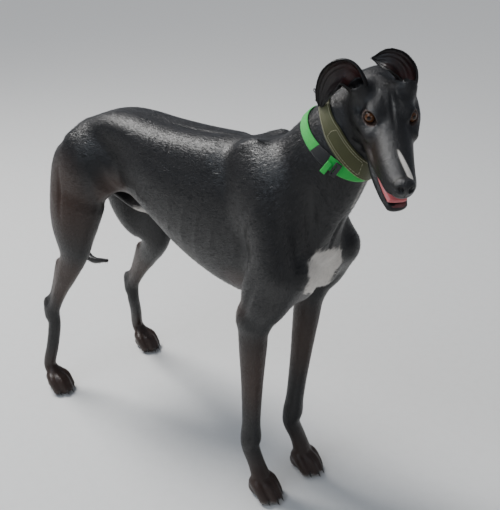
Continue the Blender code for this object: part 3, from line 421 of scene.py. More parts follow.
def eye_place(k):
    """The ball's centre, the way it looks, and the way to the inner corner, for side k."""
    look = unit((0.76, k * 0.44, 0.44))
    inner = unit(np.array([0.62, -k * 0.7, -0.35]))
    inner = unit(inner - look * (inner @ look))
    return np.array([0.0, k * EYE_SIDE, 0.0]) - look * EYE_SINK, look, inner


def lids():
    """Lids drawn over the ball, open in an almond, with a hollow in front of the inner corner."""
    steps = []
    for k in (-1, 1):
        ball, look, inner = eye_place(k)
        steps += [add(ellipsoid(ball, (EYE_RADIUS + LID_THICK,) * 3), 0.008),
                  swell(ball + inner * 0.02 + look * 0.004, (0.012, 0.01, 0.01), -0.003),
                  cut(ellipsoid(ball + look * 0.015, (0.015, 0.011, 0.0073), look, inner), 0.0015)]
    return steps


def ear_roots():
    steps = []
    for k, rows in ((-1, RIGHT_EAR), (1, LEFT_EAR)):
        axis = ear_axis(rows)
        deep = (-0.05, k * 0.022, -0.01)
        steps += [add(tube([deep + (0.02, 0.02), tuple(axis[0]) + (0.017, 0.017),
                            tuple((axis[0] + axis[1]) / 2) + (0.015, 0.015)]), 0.014),
                  cut(tube([tuple(axis[2]) + (0.012, 0.012), tuple(axis[1]) + (0.0105, 0.0105),
                            tuple(axis[0]) + (0.0075, 0.0075)]), 0.003)]
    return steps


def head():
    return HEAD.place(skull() + jaws() + nose() + lids() + ear_roots())


def whole():
    steps = trunk() + neck()
    for leg in (HIND_RIGHT, HIND_LEFT):
        steps += hind_leg(*leg.values())
    for leg in (FORE_RIGHT, FORE_LEFT):
        steps += fore_leg(*leg.values())
    return steps + [add(tube(TAIL_ROOT), 0.02)] + head()


EAR_HALF_THICK = 0.0019


def ear_sheet(rows, across=15, steps=4):
    """Points of the folded sheet in the head's frame, with half thicknesses."""
    line = curve(rows, steps)
    along = np.gradient(line[:, :3], axis=0)
    spread = np.linspace(-1, 1, across)
    grid = np.empty((len(line), across, 3))
    thick = np.empty((len(line), across))
    for i, row in enumerate(line):
        _, a, b = cross_ways(along[i], row[3:6])
        angle = spread * np.radians(np.where(spread < 0, row[7], row[8]))
        grid[i] = row[:3] + row[6] * (np.outer(np.sin(angle), a) + np.outer(1 - np.cos(angle), b))
        s = i / (len(line) - 1)
        thick[i] = EAR_HALF_THICK * (1.25 - 0.45 * s) * (1 - 0.25 * spread ** 4)
    return HEAD.out(grid.reshape(-1, 3)).reshape(grid.shape), thick


# Tongue and collars

TONGUE = [(0.004, 0, -0.056, 0.021, 0.006), (0.04, 0.002, -0.063, 0.0215, 0.0068),
          (0.069, 0.004, -0.069, 0.019, 0.0062), (0.09, 0.006, -0.074, 0.015, 0.0048)]
OLIVE = dict(centre=(0.338, -0.0168, 0.7497), normal=(0.706, 0.212, 0.676),
             width_front=0.028, width_back=0.022)
GREEN = dict(centre=(0.3262, -0.0195, 0.7205), normal=(0.59, -0.06, 0.805),
             width_front=0.019, width_back=0.016)
SLIDER = (0.35, -0.034, 0.699)
KEEPER = (0.338, -0.04, 0.701)
BUCKLE = (0.305, 0.0304, 0.775)
RING = (0.29, 0.0024, 0.7925)
RING_RADIUS = 0.0095
RING_WIRE = 0.0017


def on_band(point, normal):
    """A frame on the neck: across the band, along it, and outwards."""
    p = np.asarray(point, float)
    body = neck() + trunk()[:1]
    step = 0.001
    slope = np.array([evaluate(np.array([p + step * e, p - step * e]), body) for e in np.eye(3)])
    out = unit(slope[:, 0] - slope[:, 1])
    p = p - out * evaluate(p[None], body)[0]
    across = unit(np.asarray(normal) - out * (out @ np.asarray(normal)))
    return p, np.array([across, np.cross(out, across), out])


THIGH_Z = 0.47
ELBOW_Z = 0.415


# Fine forms that only the skin has: grooves, ribs and folds

def details():
    steps = []
    for k in (-1, 1):
        steps += [
            swell((0.318, k * 0.046, 0.61), (0.016, 0.014, 0.08), -0.005, (1, 0, 0), (0, 1, 0)),
            swell((0.205, k * 0.078, 0.56), (0.016, 0.04, 0.1), -0.0035, (0.94, 0, -0.34)),
            swell((0.16, k * 0.07, 0.64), (0.03, 0.03, 0.06), -0.003, (0.9, 0, 0.4)),
            swell((-0.16, k * 0.075, 0.56), (0.02, 0.035, 0.08), -0.005, (0.9, 0, 0.43)),
            swell((-0.262, k * 0.098, 0.5), (0.01, 0.03, 0.09), -0.003, (1, 0, 0.1)),
            swell((-0.285, k * 0.07, 0.61), (0.03, 0.03, 0.025), -0.003),
            swell((0.235, k * 0.1, 0.45), (0.01, 0.02, 0.06), -0.003, (0.9, 0, -0.4))]
        for i in range(7):
            x = 0.135 - 0.033 * i
            top = 0.6 + 0.004 * i
            steps.append(swell((x - 0.01, k * 0.09, top - 0.085), (0.0085, 0.045, 0.085), 0.0011,
                                         (0.96, 0, -0.28)))
    steps += [swell((0.326, 0.0, 0.59), (0.03, 0.0075, 0.085), -0.007),
              swell((0.06, 0, 0.69), (0.16, 0.006, 0.02), -0.0015)]
    return steps


def head_details():
    steps = []
    for k in (-1, 1):
        steps += [
            swell((-0.01, k * 0.04, -0.058), (0.02, 0.014, 0.006), -0.002, (0.9, 0, -0.4)),
            swell((0.052, k * 0.026, -0.034), (0.045, 0.012, 0.007), -0.0012, (1, 0, -0.02)),
            swell((0.095, k * 0.022, -0.032), (0.022, 0.012, 0.01), 0.0012),
            swell((0.014, k * 0.021, -0.004), (0.02, 0.008, 0.01), -0.0015),
            swell((-0.036, k * 0.012, 0.012), (0.034, 0.008, 0.01), 0.0009, (1, k * 0.2, 0))]
    steps.append(swell((-0.01, 0.0, 0.01), (0.05, 0.0055, 0.012), -0.0016))
    return HEAD.place(steps)


# The skin

def slope(steps, p, step=0.0007):
    g = np.empty(p.shape)
    for k in range(3):
        e = np.zeros(3)
        e[k] = step
        g[:, k] = (evaluate(p + e, steps) - evaluate(p - e, steps)) / (2 * step)
    return g


FLOOR = (np.zeros(3), np.array([0.0, 0.0, 1.0]))


def fine_net(steps, low, high, cell, inset, keep=FLOOR):
    """Points, quads and normals where the field is inset, and which points lie clear of the plane.

    Keep is the plane's point and normal: what lies on the side that the normal points to stays.
    """
    low, high = np.asarray(low, float), np.asarray(high, float)
    size = 8
    blocks = np.ceil((high - low) / cell / size).astype(int)
    n = blocks * size

    def field(p):
        d = evaluate(p, steps) + inset
        return np.maximum(d, (p - keep[0]) @ -keep[1])
    corner = np.stack(np.meshgrid(*[np.arange(b) for b in blocks], indexing="ij"), -1).reshape(-1, 3)
    middle = field(low + (corner + 0.5) * size * cell)
    live = np.abs(middle) < size * cell * 1.15 + 0.004
    inner = np.stack(np.meshgrid(*[np.arange(size)] * 3, indexing="ij"), -1).reshape(-1, 3)
    d = middle.reshape(blocks).astype(np.float32)
    for axis in range(3):
        d = np.repeat(d, size, axis)
    at = (corner[live][:, None] * size + inner[None]).reshape(-1, 3)
    d[tuple(at.T)] = field(low + at * cell)
    inside = d < 0
    some, every = np.zeros(tuple(n - 1), bool), np.ones(tuple(n - 1), bool)
    offsets = [(i, j, k) for i in (0, 1) for j in (0, 1) for k in (0, 1)]
    for i, j, k in offsets:
        part = inside[i:n[0] - 1 + i, j:n[1] - 1 + j, k:n[2] - 1 + k]
        some |= part
        every &= part
    cells = np.argwhere(some & ~every)
    index = np.full(tuple(n - 1), -1, np.int32)
    index[tuple(cells.T)] = np.arange(len(cells))
    values = np.stack([d[tuple((cells + o).T)] for o in offsets], 1)
    total, count = np.zeros((len(cells), 3)), np.zeros(len(cells))
    for a, first in enumerate(offsets):
        for b, second in enumerate(offsets):
            if b > a and sum(x != y for x, y in zip(first, second)) == 1:
                hit = (values[:, a] < 0) != (values[:, b] < 0)
                t = np.where(hit, values[:, a] / np.where(hit, values[:, a] - values[:, b], 1.0), 0.0)
                place = np.array(first) + t[:, None] * (np.array(second) - np.array(first))
                total += hit[:, None] * place
                count += hit
    points = low + cell * (cells + total / count[:, None])
    quads = []
    for axis in range(3):
        b, c = (axis + 1) % 3, (axis + 2) % 3
        first, second = [slice(None)] * 3, [slice(None)] * 3
        first[axis], second[axis] = slice(0, -1), slice(1, None)
        cross = np.argwhere(inside[tuple(first)] != inside[tuple(second)])
        for other in (b, c):
            cross = cross[(cross[:, other] > 0) & (cross[:, other] < n[other] - 1)]
        corners = []
        for db, dc in ((1, 1), (0, 1), (0, 0), (1, 0)):
            q = cross.copy()
            q[:, b] -= db
            q[:, c] -= dc
            corners.append(index[tuple(q.T)])
        quad = np.stack(corners, 1)
        outward = inside[tuple(cross.T)]
        quad[~outward] = quad[~outward][:, ::-1]
        quads.append(quad)
    free = (points - keep[0]) @ keep[1] > cell
    g = slope(steps, points)
    long = np.linalg.norm(g, axis=1) + 1e-9
    f = evaluate(points, steps) + inset
    move = np.clip(f / long, -0.6 * cell, 0.6 * cell)
    normals = g / long[:, None]
    points = np.where(free[:, None], points - normals * move[:, None], points)
    return points, np.vstack(quads), normals, free


# Colours by place, shared by the skin and the tufts over it

BLACK = (0.0048, 0.0046, 0.005)
# A brown tone of the coat, also used as a painted highlight on the lit muscles
WARM_TONE_AND_HIGHLIGHT = (0.042, 0.019, 0.011)
WHITE = (0.62, 0.58, 0.53)
GREY_BROWN = (0.07, 0.046, 0.038)
GUM = (0.16, 0.055, 0.055)
NOSE_BLACK = (0.009, 0.009, 0.01)


def smooth(x):
    x = np.clip(x, 0.0, 1.0)
    return x * x * (3 - 2 * x)


def near_line(p, a, b):
    a, b = np.asarray(a, float), np.asarray(b, float)
    t = np.clip((p - a) @ (b - a) / ((b - a) @ (b - a)), 0, 1)
    return np.linalg.norm(p - a - t[:, None] * (b - a), axis=1)


def blob(p, centre, radii):
    """1 in the middle of a soft ellipsoid, 0 outside."""
    return smooth(1.5 * (1 - np.sqrt((((p - np.asarray(centre)) / np.asarray(radii)) ** 2).sum(1))))


CHEST_PATCH = [(-0.034, 0.55), (0.018, 0.533), (0.036, 0.532), (0.044, 0.502), (0.023, 0.48), (0.025, 0.452),
               (0.0, 0.446), (-0.068, 0.488), (-0.056, 0.528)]


def in_patch(p):
    """Distance inside the white chest patch, seen from the front."""
    q = p[:, 1:]
    corners = np.array(CHEST_PATCH)
    inside = np.zeros(len(q), bool)
    reach = np.full(len(q), 1.0)
    for a, b in zip(corners, np.roll(corners, -1, 0)):
        reach = np.minimum(reach, near_line(q, a, b))
        cross = ((a[1] > q[:, 1]) != (b[1] > q[:, 1]))
        x = a[0] + (q[:, 1] - a[1]) / np.where(b[1] == a[1], 1.0, b[1] - a[1]) * (b[0] - a[0])
        inside ^= cross & (q[:, 0] < x)
    return np.where(inside, reach, -reach)


# Where the coat is painted brownish and lighter on both sides, as a painted highlight on the lit muscles: the
# middle of each place and its three radii
PAINTED_HIGHLIGHT_PLACES = [((-0.255, 0.095, 0.5), (0.09, 0.06, 0.13)), ((-0.15, 0.06, 0.52), (0.06, 0.06, 0.08)),
               ((0.228, 0.07, 0.3), (0.05, 0.06, 0.14)), ((0.18, 0.07, 0.43), (0.08, 0.06, 0.06)),
               ((-0.29, 0.1, 0.3), (0.09, 0.06, 0.12))]


def marks(p, jitter=0.0):
    """How white, how brownish (a brown tone of the coat, with a painted highlight on the muscles), how
    grey-brown, how much gum and how much bare nose at each place, from 0 to 1.
    """
    h = HEAD.into(p)
    wander = 0.002 * np.sin(p[:, 0] * 310) * np.sin(p[:, 1] * 270 + 1) + 0.002 * np.sin(p[:, 2] * 330)
    white = np.where(p[:, 0] > 0.25, smooth((in_patch(p) + wander + jitter) / 0.005 + 0.5), 0)
    blaze = near_line(h, (0.061, -0.002, 0.001), (0.106, 0.008, -0.009))
    wide = 0.0018 + 0.003 * np.clip((h[:, 0] - 0.055) / 0.05, 0, 1)
    streak = near_line(p, (0.378, 0.009, 0.682), (0.358, 0.006, 0.625))
    brisket = near_line(p, (0.16, -0.02, 0.402), (0.115, -0.035, 0.408))
    tip = near_line(p, (-0.112, 0, 0.484), (-0.15, 0, 0.484))
    toes = (p[:, 2] < 0.022) & (np.abs(p[:, 0] - 0.285) < 0.022)
    for more in (np.where(h[:, 2] > -0.03, smooth((wide - blaze + jitter * 0.3) / 0.0015 + 0.5), 0),
                 0.55 * smooth((0.0035 - streak + jitter) / 0.004 + 0.3),
                 0.8 * smooth((0.006 - brisket + jitter) / 0.004 + 0.5) * (p[:, 2] < 0.425),
                 0.8 * smooth((0.011 - tip + jitter) / 0.005 + 0.5),
                 0.35 * toes * smooth((0.012 - p[:, 2]) / 0.008 + 0.3)):
        white = np.maximum(white, more)
    warm_and_lit, grey = np.zeros(len(p)), np.zeros(len(p))
    for k in (-1, 1):
        # Painted highlight: the muscles are painted brownish and lighter where light falls on them
        for (x, y, z), radii in PAINTED_HIGHLIGHT_PLACES:
            warm_and_lit = np.maximum(warm_and_lit, blob(p, (x, k * y, z), radii))
        ball, look, inner = eye_place(k)
        q = h - ball
        ring = np.sqrt((q @ inner / 0.0112) ** 2 + (q @ np.cross(look, inner) / 0.0078) ** 2)
        grey = np.maximum(grey, smooth((1.28 - ring) / 0.16) * (q @ look > 0.002))
    warm_and_lit = np.maximum(warm_and_lit, 0.8 * smooth((0.13 - p[:, 2]) / 0.1))
    warm_and_lit = np.maximum(warm_and_lit, 0.7 * blob(h, (0.03, 0, -0.03), (0.08, 0.05, 0.03)))
    nose = smooth((h[:, 0] - 0.1125) / 0.002) * smooth((h[:, 2] + 0.027) / 0.003)
    mouth = (h[:, 0] > -0.02) & (h[:, 0] < 0.11) & (np.abs(h[:, 1]) < 0.021)
    roof = -0.0425 - 0.05 * np.clip(h[:, 0], 0, 0.1)
    bottom = roof - 0.006 - 0.3 * np.clip(h[:, 0] - 0.01, 0, 0.1)
    gum = np.where(mouth & (h[:, 2] < roof) & (h[:, 2] > bottom), 1.0, 0.0)
    return white, warm_and_lit, grey, gum, nose


def layered(base, *layers):
    """The base colour with a tone over it for each layer, by the layer's amount at each place."""
    colour = np.array(base) * np.ones((len(layers[0][0]), 3))
    for amount, tone in layers:
        colour += (np.array(tone) - colour) * amount[:, None]
    return colour


def coat_colour(p, jitter=0.0):
    """The colour at each place, how bare the nose is there, and how wet the surface is."""
    white, warm_and_lit, grey, gum, nose = marks(p, jitter)
    # The brownish layer is partly a painted highlight on the muscles
    colour = layered(BLACK, (0.75 * warm_and_lit, WARM_TONE_AND_HIGHLIGHT), (white, WHITE), (grey, GREY_BROWN), (gum, GUM),
                     (nose, NOSE_BLACK))
    return colour, nose, np.maximum(gum, grey)


# How the coat lies

TAIL_LINE = curve(np.array(TAIL), 4)[:, :3]


def part_of(p):
    """The number of the body's part at each place: trunk, head, four legs, tail."""
    part = np.zeros(len(p), int)
    part[HEAD.into(p)[:, 0] > -0.13] = 1
    part[p[:, 0] < 0.29] = 0
    fore = (p[:, 2] < ELBOW_Z) & (p[:, 0] > 0.1)
    hind = (p[:, 2] < THIGH_Z) & (p[:, 0] < -0.1) & (np.abs(p[:, 1]) > 0.019)
    part[fore & (p[:, 1] < 0)] = 2
    part[fore & (p[:, 1] >= 0)] = 3
    part[hind & (p[:, 1] < 0)] = 4
    part[hind & (p[:, 1] >= 0)] = 5
    part[(np.abs(p[:, 1]) < 0.035) & (p[:, 0] < -0.322) & (p[:, 2] < 0.575)] = 6
    return part


def on_head(p):
    """1 on the head, 0 on the body, soft between."""
    return smooth((HEAD.into(p)[:, 0] + 0.12) / 0.04) * smooth((p[:, 0] - 0.3) / 0.03)


def lie(p, normals):
    """The way the coat lies, along the surface."""
    back = np.tile([-1.0, 0.0, -0.12], (len(p), 1))
    down = smooth((0.5 - p[:, 2]) / 0.12) * (np.abs(p[:, 1]) > 0.02)
    way = back * (1 - down)[:, None] + np.array([-0.1, 0, -1.0]) * down[:, None]
    rump = smooth((-0.22 - p[:, 0]) / 0.1) * smooth((p[:, 2] - 0.3) / 0.2)
    way += rump[:, None] * np.array([0.2, 0, -0.8])
    neck_part = smooth((p[:, 0] - 0.22) / 0.08) * smooth((p[:, 2] - 0.54) / 0.06)
    way += neck_part[:, None] * (np.array([-0.55, -0.1, -0.85]) - way)
    front = smooth((p[:, 0] - 0.26) / 0.05) * smooth((0.6 - p[:, 2]) / 0.06)
    way += front[:, None] * (np.array([0.0, 0.0, -1.0]) - way)
    way += on_head(p)[:, None] * (-HEAD.turn[:, 0] - way)
    tail = np.argmin(((p[:, None] - TAIL_LINE[None, ::2]) ** 2).sum(2), 1)
    along = np.gradient(TAIL_LINE[::2], axis=0)[tail]
    on_tail = part_of(p) == 6
    way[on_tail] = along[on_tail] / np.linalg.norm(along[on_tail], axis=1)[:, None]
    way -= normals * (way * normals).sum(1)[:, None]
    return way / (np.linalg.norm(way, axis=1)[:, None] + 1e-9)


# Objects

def put(name, data):
    made = bpy.data.objects.new(name, data)
    bpy.context.scene.collection.objects.link(made)
    return made


def add_mesh(name, points, faces, normals=None):
    points = np.asarray(points, float)
    faces = np.asarray(faces)
    mesh = bpy.data.meshes.new(name)
    mesh.vertices.add(len(points))
    mesh.vertices.foreach_set("co", points.ravel())
    mesh.loops.add(faces.size)
    mesh.loops.foreach_set("vertex_index", faces.ravel().astype(np.int32))
    mesh.polygons.add(len(faces))
    mesh.polygons.foreach_set("loop_start", (np.arange(len(faces)) * faces.shape[1]).astype(np.int32))
    mesh.update(calc_edges=True)
    mesh.polygons.foreach_set("use_smooth", np.ones(len(faces), bool))
    if normals is not None:
        mesh.normals_split_custom_set_from_vertices([tuple(n) for n in normals])
    return put(name, mesh)


def net_quads(rows, around, closed=False):
    """Quads over rows of points that each run round. Closed joins the last row to the first."""
    i, j = divmod(np.arange((rows if closed else rows - 1) * around), around)
    i2, j2 = (i + 1) % rows, (j + 1) % around
    return np.stack([i * around + j, i * around + j2, i2 * around + j2, i2 * around + j], 1)


def round_angles(count):
    return 2 * math.pi * np.arange(count) / count


def paint(made, name, colour):
    layer = made.data.color_attributes.new(name, "FLOAT_COLOR", "POINT")
    full = np.ones((len(colour), 4))
    full[:, :3] = colour
    layer.data.foreach_set("color", full.ravel())


def finish_piece(made, slot, material, *nodes):
    made.data.materials.clear()
    made.data.materials.append(material)
    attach(made, "root")
    if nodes:
        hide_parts(*nodes)
    return made


# Materials

class Nodes:
    def __init__(self, name):
        self.material = bpy.data.materials.new(name)
        self.material.use_nodes = True
        self.tree = self.material.node_tree
        self.shader = self.tree.nodes["Principled BSDF"]
        self.place = self.add("TexCoord").outputs["Object"]

    def add(self, kind, settings=None, **inputs):
        node = self.tree.nodes.new("ShaderNode" + kind)
        for key, value in (settings or {}).items():
            setattr(node, key, value)
        for key, value in inputs.items():
            self.set(node, key.replace("_", " "), value)
        return node

    def set(self, node, key, value):
        socket = node.inputs[int(key)] if key.isdigit() else node.inputs[key]
        if hasattr(value, "is_output"):
            self.tree.links.new(value, socket)
        else:
            socket.default_value = value

    def surface(self, **inputs):
        for key, value in inputs.items():
            self.set(self.shader, key.replace("_", " "), value)

    def math(self, operation, a, b=0.0):
        node = self.add("Math", dict(operation=operation))
        self.set(node, "0", a)
        self.set(node, "1", b)
        return node.outputs[0]

    def plus(self, a, b):
        return self.math("ADD", a, b)

    def times(self, a, b):
        return self.math("MULTIPLY", a, b)

    def painted(self, name):
        return self.add("Attribute", dict(attribute_name=name)).outputs["Color"]

    def mix(self, amount, a, b):
        node = self.add("Mix", dict(data_type="RGBA"))
        for key, value in (("0", amount), ("6", a), ("7", b)):
            self.set(node, key, value)
        return node.outputs[2]

    def noise(self, scale, vector, detail=3.0, rough=0.6):
        return self.add("TexNoise", Scale=scale, Detail=detail, Roughness=rough, Vector=vector).outputs["Fac"]

    def stretched(self, vector, rotation, scale):
        return self.add("Mapping", Vector=vector, Rotation=rotation, Scale=scale).outputs[0]

    def bump(self, height, strength, distance):
        return self.add("Bump", Strength=strength, Distance=distance, Height=height).outputs[0]

    def ramp(self, value, low, high):
        return self.add("MapRange", Value=value, From_Min=low, From_Max=high).outputs[0]


def coat_material():
    """Short glossy coat: streaks along the lie, patches that catch the light, bare leather on the nose."""
    n = Nodes("short glossy coat")
    colour = n.painted("coat")
    extra = n.add("SeparateColor", Color=n.painted("extra"))
    zones = n.add("SeparateColor", Color=n.painted("zone"))
    along_x = n.noise(1.0, n.stretched(n.place, (0, 0, 0), (160, 1100, 1100)))
    along_z = n.noise(1.0, n.stretched(n.place, (0, 0, 0), (1100, 1100, 160)))
    turn = (0, -math.radians(HEAD_PITCH), -math.radians(HEAD_YAW))
    face = n.noise(1.0, n.stretched(n.place, turn, (220, 1400, 1400)))
    streak = n.plus(n.times(along_x, zones.outputs[0]), n.times(along_z, zones.outputs[1]))
    streak = n.plus(streak, n.times(face, zones.outputs[2]))
    patches = n.noise(34.0, n.place, 2.0)
    tint = n.plus(n.times(streak, 0.7), n.times(patches, 0.45))
    lighter = n.mix(n.times(n.ramp(tint, 0.45, 0.85), 0.14), colour, (0.04, 0.033, 0.03, 1))
    leather = n.add("TexVoronoi", Scale=620.0, Vector=n.place).outputs["Distance"]
    broad = n.noise(150.0, n.place, 3.0)
    hair = n.plus(streak, n.times(broad, 1.3))
    height = n.plus(n.times(hair, n.math("SUBTRACT", 1.0, extra.outputs[0])),
                    n.times(leather, extra.outputs[0]))
    rough = n.plus(n.times(patches, 0.16), 0.27)
    rough = n.math("SUBTRACT", rough, n.times(extra.outputs[1], 0.14))
    n.surface(Base_Color=lighter, Roughness=rough, Normal=n.bump(height, 0.85, 0.0007))
    n.surface(Specular_IOR_Level=0.42)
    return n.material


def tuft_material():
    n = Nodes("coat tufts")
    colour = n.painted("coat")
    patches = n.noise(34.0, n.place, 2.0)
    lighter = n.mix(n.times(n.ramp(patches, 0.45, 0.8), 0.08), colour, (0.04, 0.033, 0.03, 1))
    n.surface(Base_Color=lighter, Roughness=n.plus(n.times(patches, 0.16), 0.28))
    n.surface(Specular_IOR_Level=0.42)
    return n.material


def ear_material():
    n = Nodes("ear skin")
    colour = n.painted("coat")
    fine = n.noise(900.0, n.place)
    veins = n.noise(60.0, n.place, 4.0)
    base = n.mix(n.times(n.ramp(veins, 0.5, 0.8), 0.35), colour, (0.012, 0.007, 0.006, 1))
    n.surface(Base_Color=base, Roughness=n.plus(n.times(fine, 0.2), 0.36),
              Normal=n.bump(n.plus(fine, veins), 0.35, 0.0006))
    n.surface(Subsurface_Weight=0.08, Subsurface_Scale=0.004, Specular_IOR_Level=0.4)
    n.surface(Subsurface_Radius=(1.0, 0.35, 0.2))
    return n.material


def eye_material(name):
    """Amber brown iris with fine rays, a dark rim and a pupil, under a wet surface."""
    n = Nodes(name)
    colour = n.painted("eye")
    fibres = n.noise(2300.0, n.place, 2.0)
    base = n.mix(n.times(n.ramp(fibres, 0.3, 0.8), 0.25), colour, (0.05, 0.02, 0.006, 1))
    n.surface(Base_Color=base, Roughness=n.plus(n.times(fibres, 0.03), 0.12))
    n.surface(Coat_Weight=0.5, Coat_Roughness=0.02, Coat_IOR=1.33, Specular_IOR_Level=0.25)
    return n.material


def tongue_material():
    n = Nodes("wet tongue")
    colour = n.painted("coat")
    papillae = n.add("TexVoronoi", Scale=900.0, Vector=n.place).outputs["Distance"]
    blotch = n.noise(120.0, n.place, 3.0)
    base = n.mix(n.times(blotch, 0.5), colour, (0.62, 0.16, 0.17, 1))
    n.surface(Base_Color=base, Roughness=n.plus(n.times(blotch, 0.25), 0.18),
              Normal=n.bump(n.plus(papillae, blotch), 0.5, 0.0005))
    n.surface(Subsurface_Weight=0.25, Subsurface_Scale=0.006, Coat_Weight=0.4, Coat_Roughness=0.12)
    n.surface(Subsurface_Radius=(1.0, 0.3, 0.2))
    return n.material


def webbing_material(name, colour, dark, weave, rough, depth):
    """A woven band. Its UV runs along and across it in metres."""
    n = Nodes(name)
    uv = n.add("SeparateXYZ", Vector=n.add("UVMap", dict(uv_map="Band")).outputs[0])
    along = n.math("SINE", n.times(uv.outputs[0], weave))
    across = n.math("SINE", n.times(uv.outputs[1], weave * 1.15))
    cloth = n.times(along, across)
    ribs = n.plus(n.times(cloth, 0.5), n.times(n.math("ABSOLUTE", across), 0.6))
    wear = n.noise(160.0, n.place, 4.0)
    grime = n.noise(30.0, n.place, 3.0)
    base = n.mix(n.times(n.ramp(cloth, -0.2, 1.0), 0.3), colour, dark)
    base = n.mix(n.times(n.ramp(grime, 0.48, 0.8), 0.35), base, dark)
    n.surface(Base_Color=base, Roughness=n.plus(n.times(wear, 0.2), rough),
              Normal=n.bump(n.plus(ribs, n.times(wear, 0.6)), 0.6, depth))
    n.surface(Sheen_Weight=0.15, Sheen_Roughness=0.5, Specular_IOR_Level=0.35)
    return n.material


def plain_material(name, colour, worn, rough, metal=0.0, scale=200.0, depth=0.0002):
    n = Nodes(name)
    grain = n.noise(scale, n.place, 4.0)
    broad = n.noise(45.0, n.place, 3.0)
    base = n.mix(n.times(n.ramp(broad, 0.45, 0.85), 0.6), colour, worn)
    n.surface(Base_Color=base, Roughness=n.plus(n.times(grain, 0.22), rough),
              Normal=n.bump(grain, 0.4, depth))
    n.surface(Metallic=metal)
    return n.material


# Tufts

def tufts(name, points, normals, ways, lengths, widths, lift, colours, uv, material, slot, *nodes):
    """Thin curved blades, three triangles each, that lie along the surface and shade like it."""
    count = len(points)
    side = np.cross(normals, ways)
    lengths, widths, lift = (x[:, None] for x in (lengths, widths, lift))
    mid = points + ways * lengths * 0.5 + normals * lengths * 0.5 * lift
    tip = points + ways * lengths + normals * lengths * lift * 0.75
    verts = np.stack([points - side * widths / 2, points + side * widths / 2, mid - side * widths * 0.4,
                      mid + side * widths * 0.4, tip], 1).reshape(-1, 3)
    base = 5 * np.arange(count)[:, None]
    faces = np.stack([base + (0, 3, 1), base + (0, 2, 3), base + (2, 4, 3)], 1).reshape(-1, 3)
    tilt = np.random.default_rng(count).normal(0, 0.16, (count, 3))
    shade = normals + side * tilt[:, :1] + ways * tilt[:, 1:2]
    made = add_mesh(name, verts, faces, np.repeat(shade / np.linalg.norm(shade, axis=1)[:, None], 5, 0))
    paint(made, "coat", np.repeat(colours, 5, 0))
    layer = made.data.uv_layers.new(name="OFBake")
    square = np.array([(0, 0), (0.003, 0), (0, 0.0015), (0.003, 0.0015), (0.0015, 0.003)]) - 0.0015
    corner = (uv[:, None] + square[None]).reshape(-1, 2)
    layer.data.foreach_set("uv", corner[faces.ravel()].ravel())
    return finish_piece(made, slot, material, *nodes)


CHARTS = 8
CHART_MARGIN = 0.04


def chart_uv(p, normals, part, low, size):
    """An unwrap of the body's own shape: each part is laid out flat from the six sides, in its own charts."""
    axis = np.argmax(np.abs(normals), 1)
    facing = normals[np.arange(len(p)), axis] > 0
    chart = part * 6 + axis * 2 + facing
    other = np.array([(1, 2), (0, 2), (0, 1)])[axis]
    rows = np.arange(len(p))
    q = (p - low[part]) / size[part][:, None]
    flat = np.stack([q[rows, other[:, 0]], q[rows, other[:, 1]]], 1)
    corner = np.stack([chart % CHARTS, chart // CHARTS], 1)
    return (corner + CHART_MARGIN + (1 - 2 * CHART_MARGIN) * np.clip(flat, 0, 1)) / CHARTS


def roots_on(points, quads, density, rng):
    """Random places on a mesh, so many to the square metre, as given for each quad.

    Gives a function that takes values at the mesh's points to those places, and the first point
    of the quad that each place is on.
    """
    a, b, c, d = (points[quads[:, i]] for i in range(4))
    area = np.linalg.norm(np.cross(c - a, d - b), axis=1) / 2
    pick = quads[np.repeat(np.arange(len(quads)), rng.poisson(area * density))]
    s, t = rng.random((2, len(pick), 1))

    def at_roots(values):
        a, b, c, d = (values[pick[:, i]] for i in range(4))
        return (1 - s) * ((1 - t) * a + t * d) + s * ((1 - t) * b + t * c)
    return at_roots, pick[:, 0]


# Build the skin

def build_skin():
    """A shell for the body and a finer one for the head. They overlap out of sight under the olive collar."""
    steps = whole() + details()
    top = np.array(OLIVE["centre"])
    way = unit(OLIVE["normal"])
    coarse, fine = ((0.003, 0.0014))
    body_box = ((-0.41, -0.165, -0.01), (0.375, 0.175, 0.8))
    head_box = ((0.285, -0.125, 0.645), (0.53, 0.1, 0.865))
    return [fine_net(steps, *body_box, coarse, COAT_DEPTH, (top + 0.005 * way, -way)),
            fine_net(steps + head_details(), *head_box, fine, COAT_DEPTH, (top - 0.003 * way, way))]


def zones(p, normals):
    """How far the hair lies level, upright and along the head, for the streaks in the coat."""
    head_share = on_head(p)
    upright = np.abs(lie(p, normals)[:, 2]) * (1 - head_share)
    return np.stack([1 - upright - head_share * (1 - upright), upright, head_share], 1)


def paint_coat(made, points, normals):
    colour, nose, wet = coat_colour(points)
    paint(made, "coat", colour)
    paint(made, "extra", np.stack([nose, wet, np.zeros(len(wet))], 1))
    paint(made, "zone", zones(points, normals))


shells = build_skin()
skin_points = np.vstack([s[0] for s in shells])
skin = add_mesh("skin", skin_points + SHIFT, np.vstack([shells[0][1], shells[1][1] + len(shells[0][0])]))
paint_coat(skin, skin_points, np.vstack([s[2] for s in shells]))
COAT = coat_material()
finish_piece(skin, "coat", COAT, "chest", "trunk", "hindquarters", "neck", "head", "foreleg_left",
             "foreleg_right", "forepaw_left", "forepaw_right", "hindleg_left", "hindleg_right",
             "hindfoot_left", "hindfoot_right")
tail_points, tail_quads, tail_normals, _ = fine_net(
    [add(tube(TAIL), 0.01)], (-0.41, -0.045, 0.3), (-0.225, 0.03, 0.6), 0.0016, 0.0008)
tail = add_mesh("tail_skin", tail_points + SHIFT, tail_quads)
paint_coat(tail, tail_points, tail_normals)
finish_piece(tail, "coat", COAT, "tail")


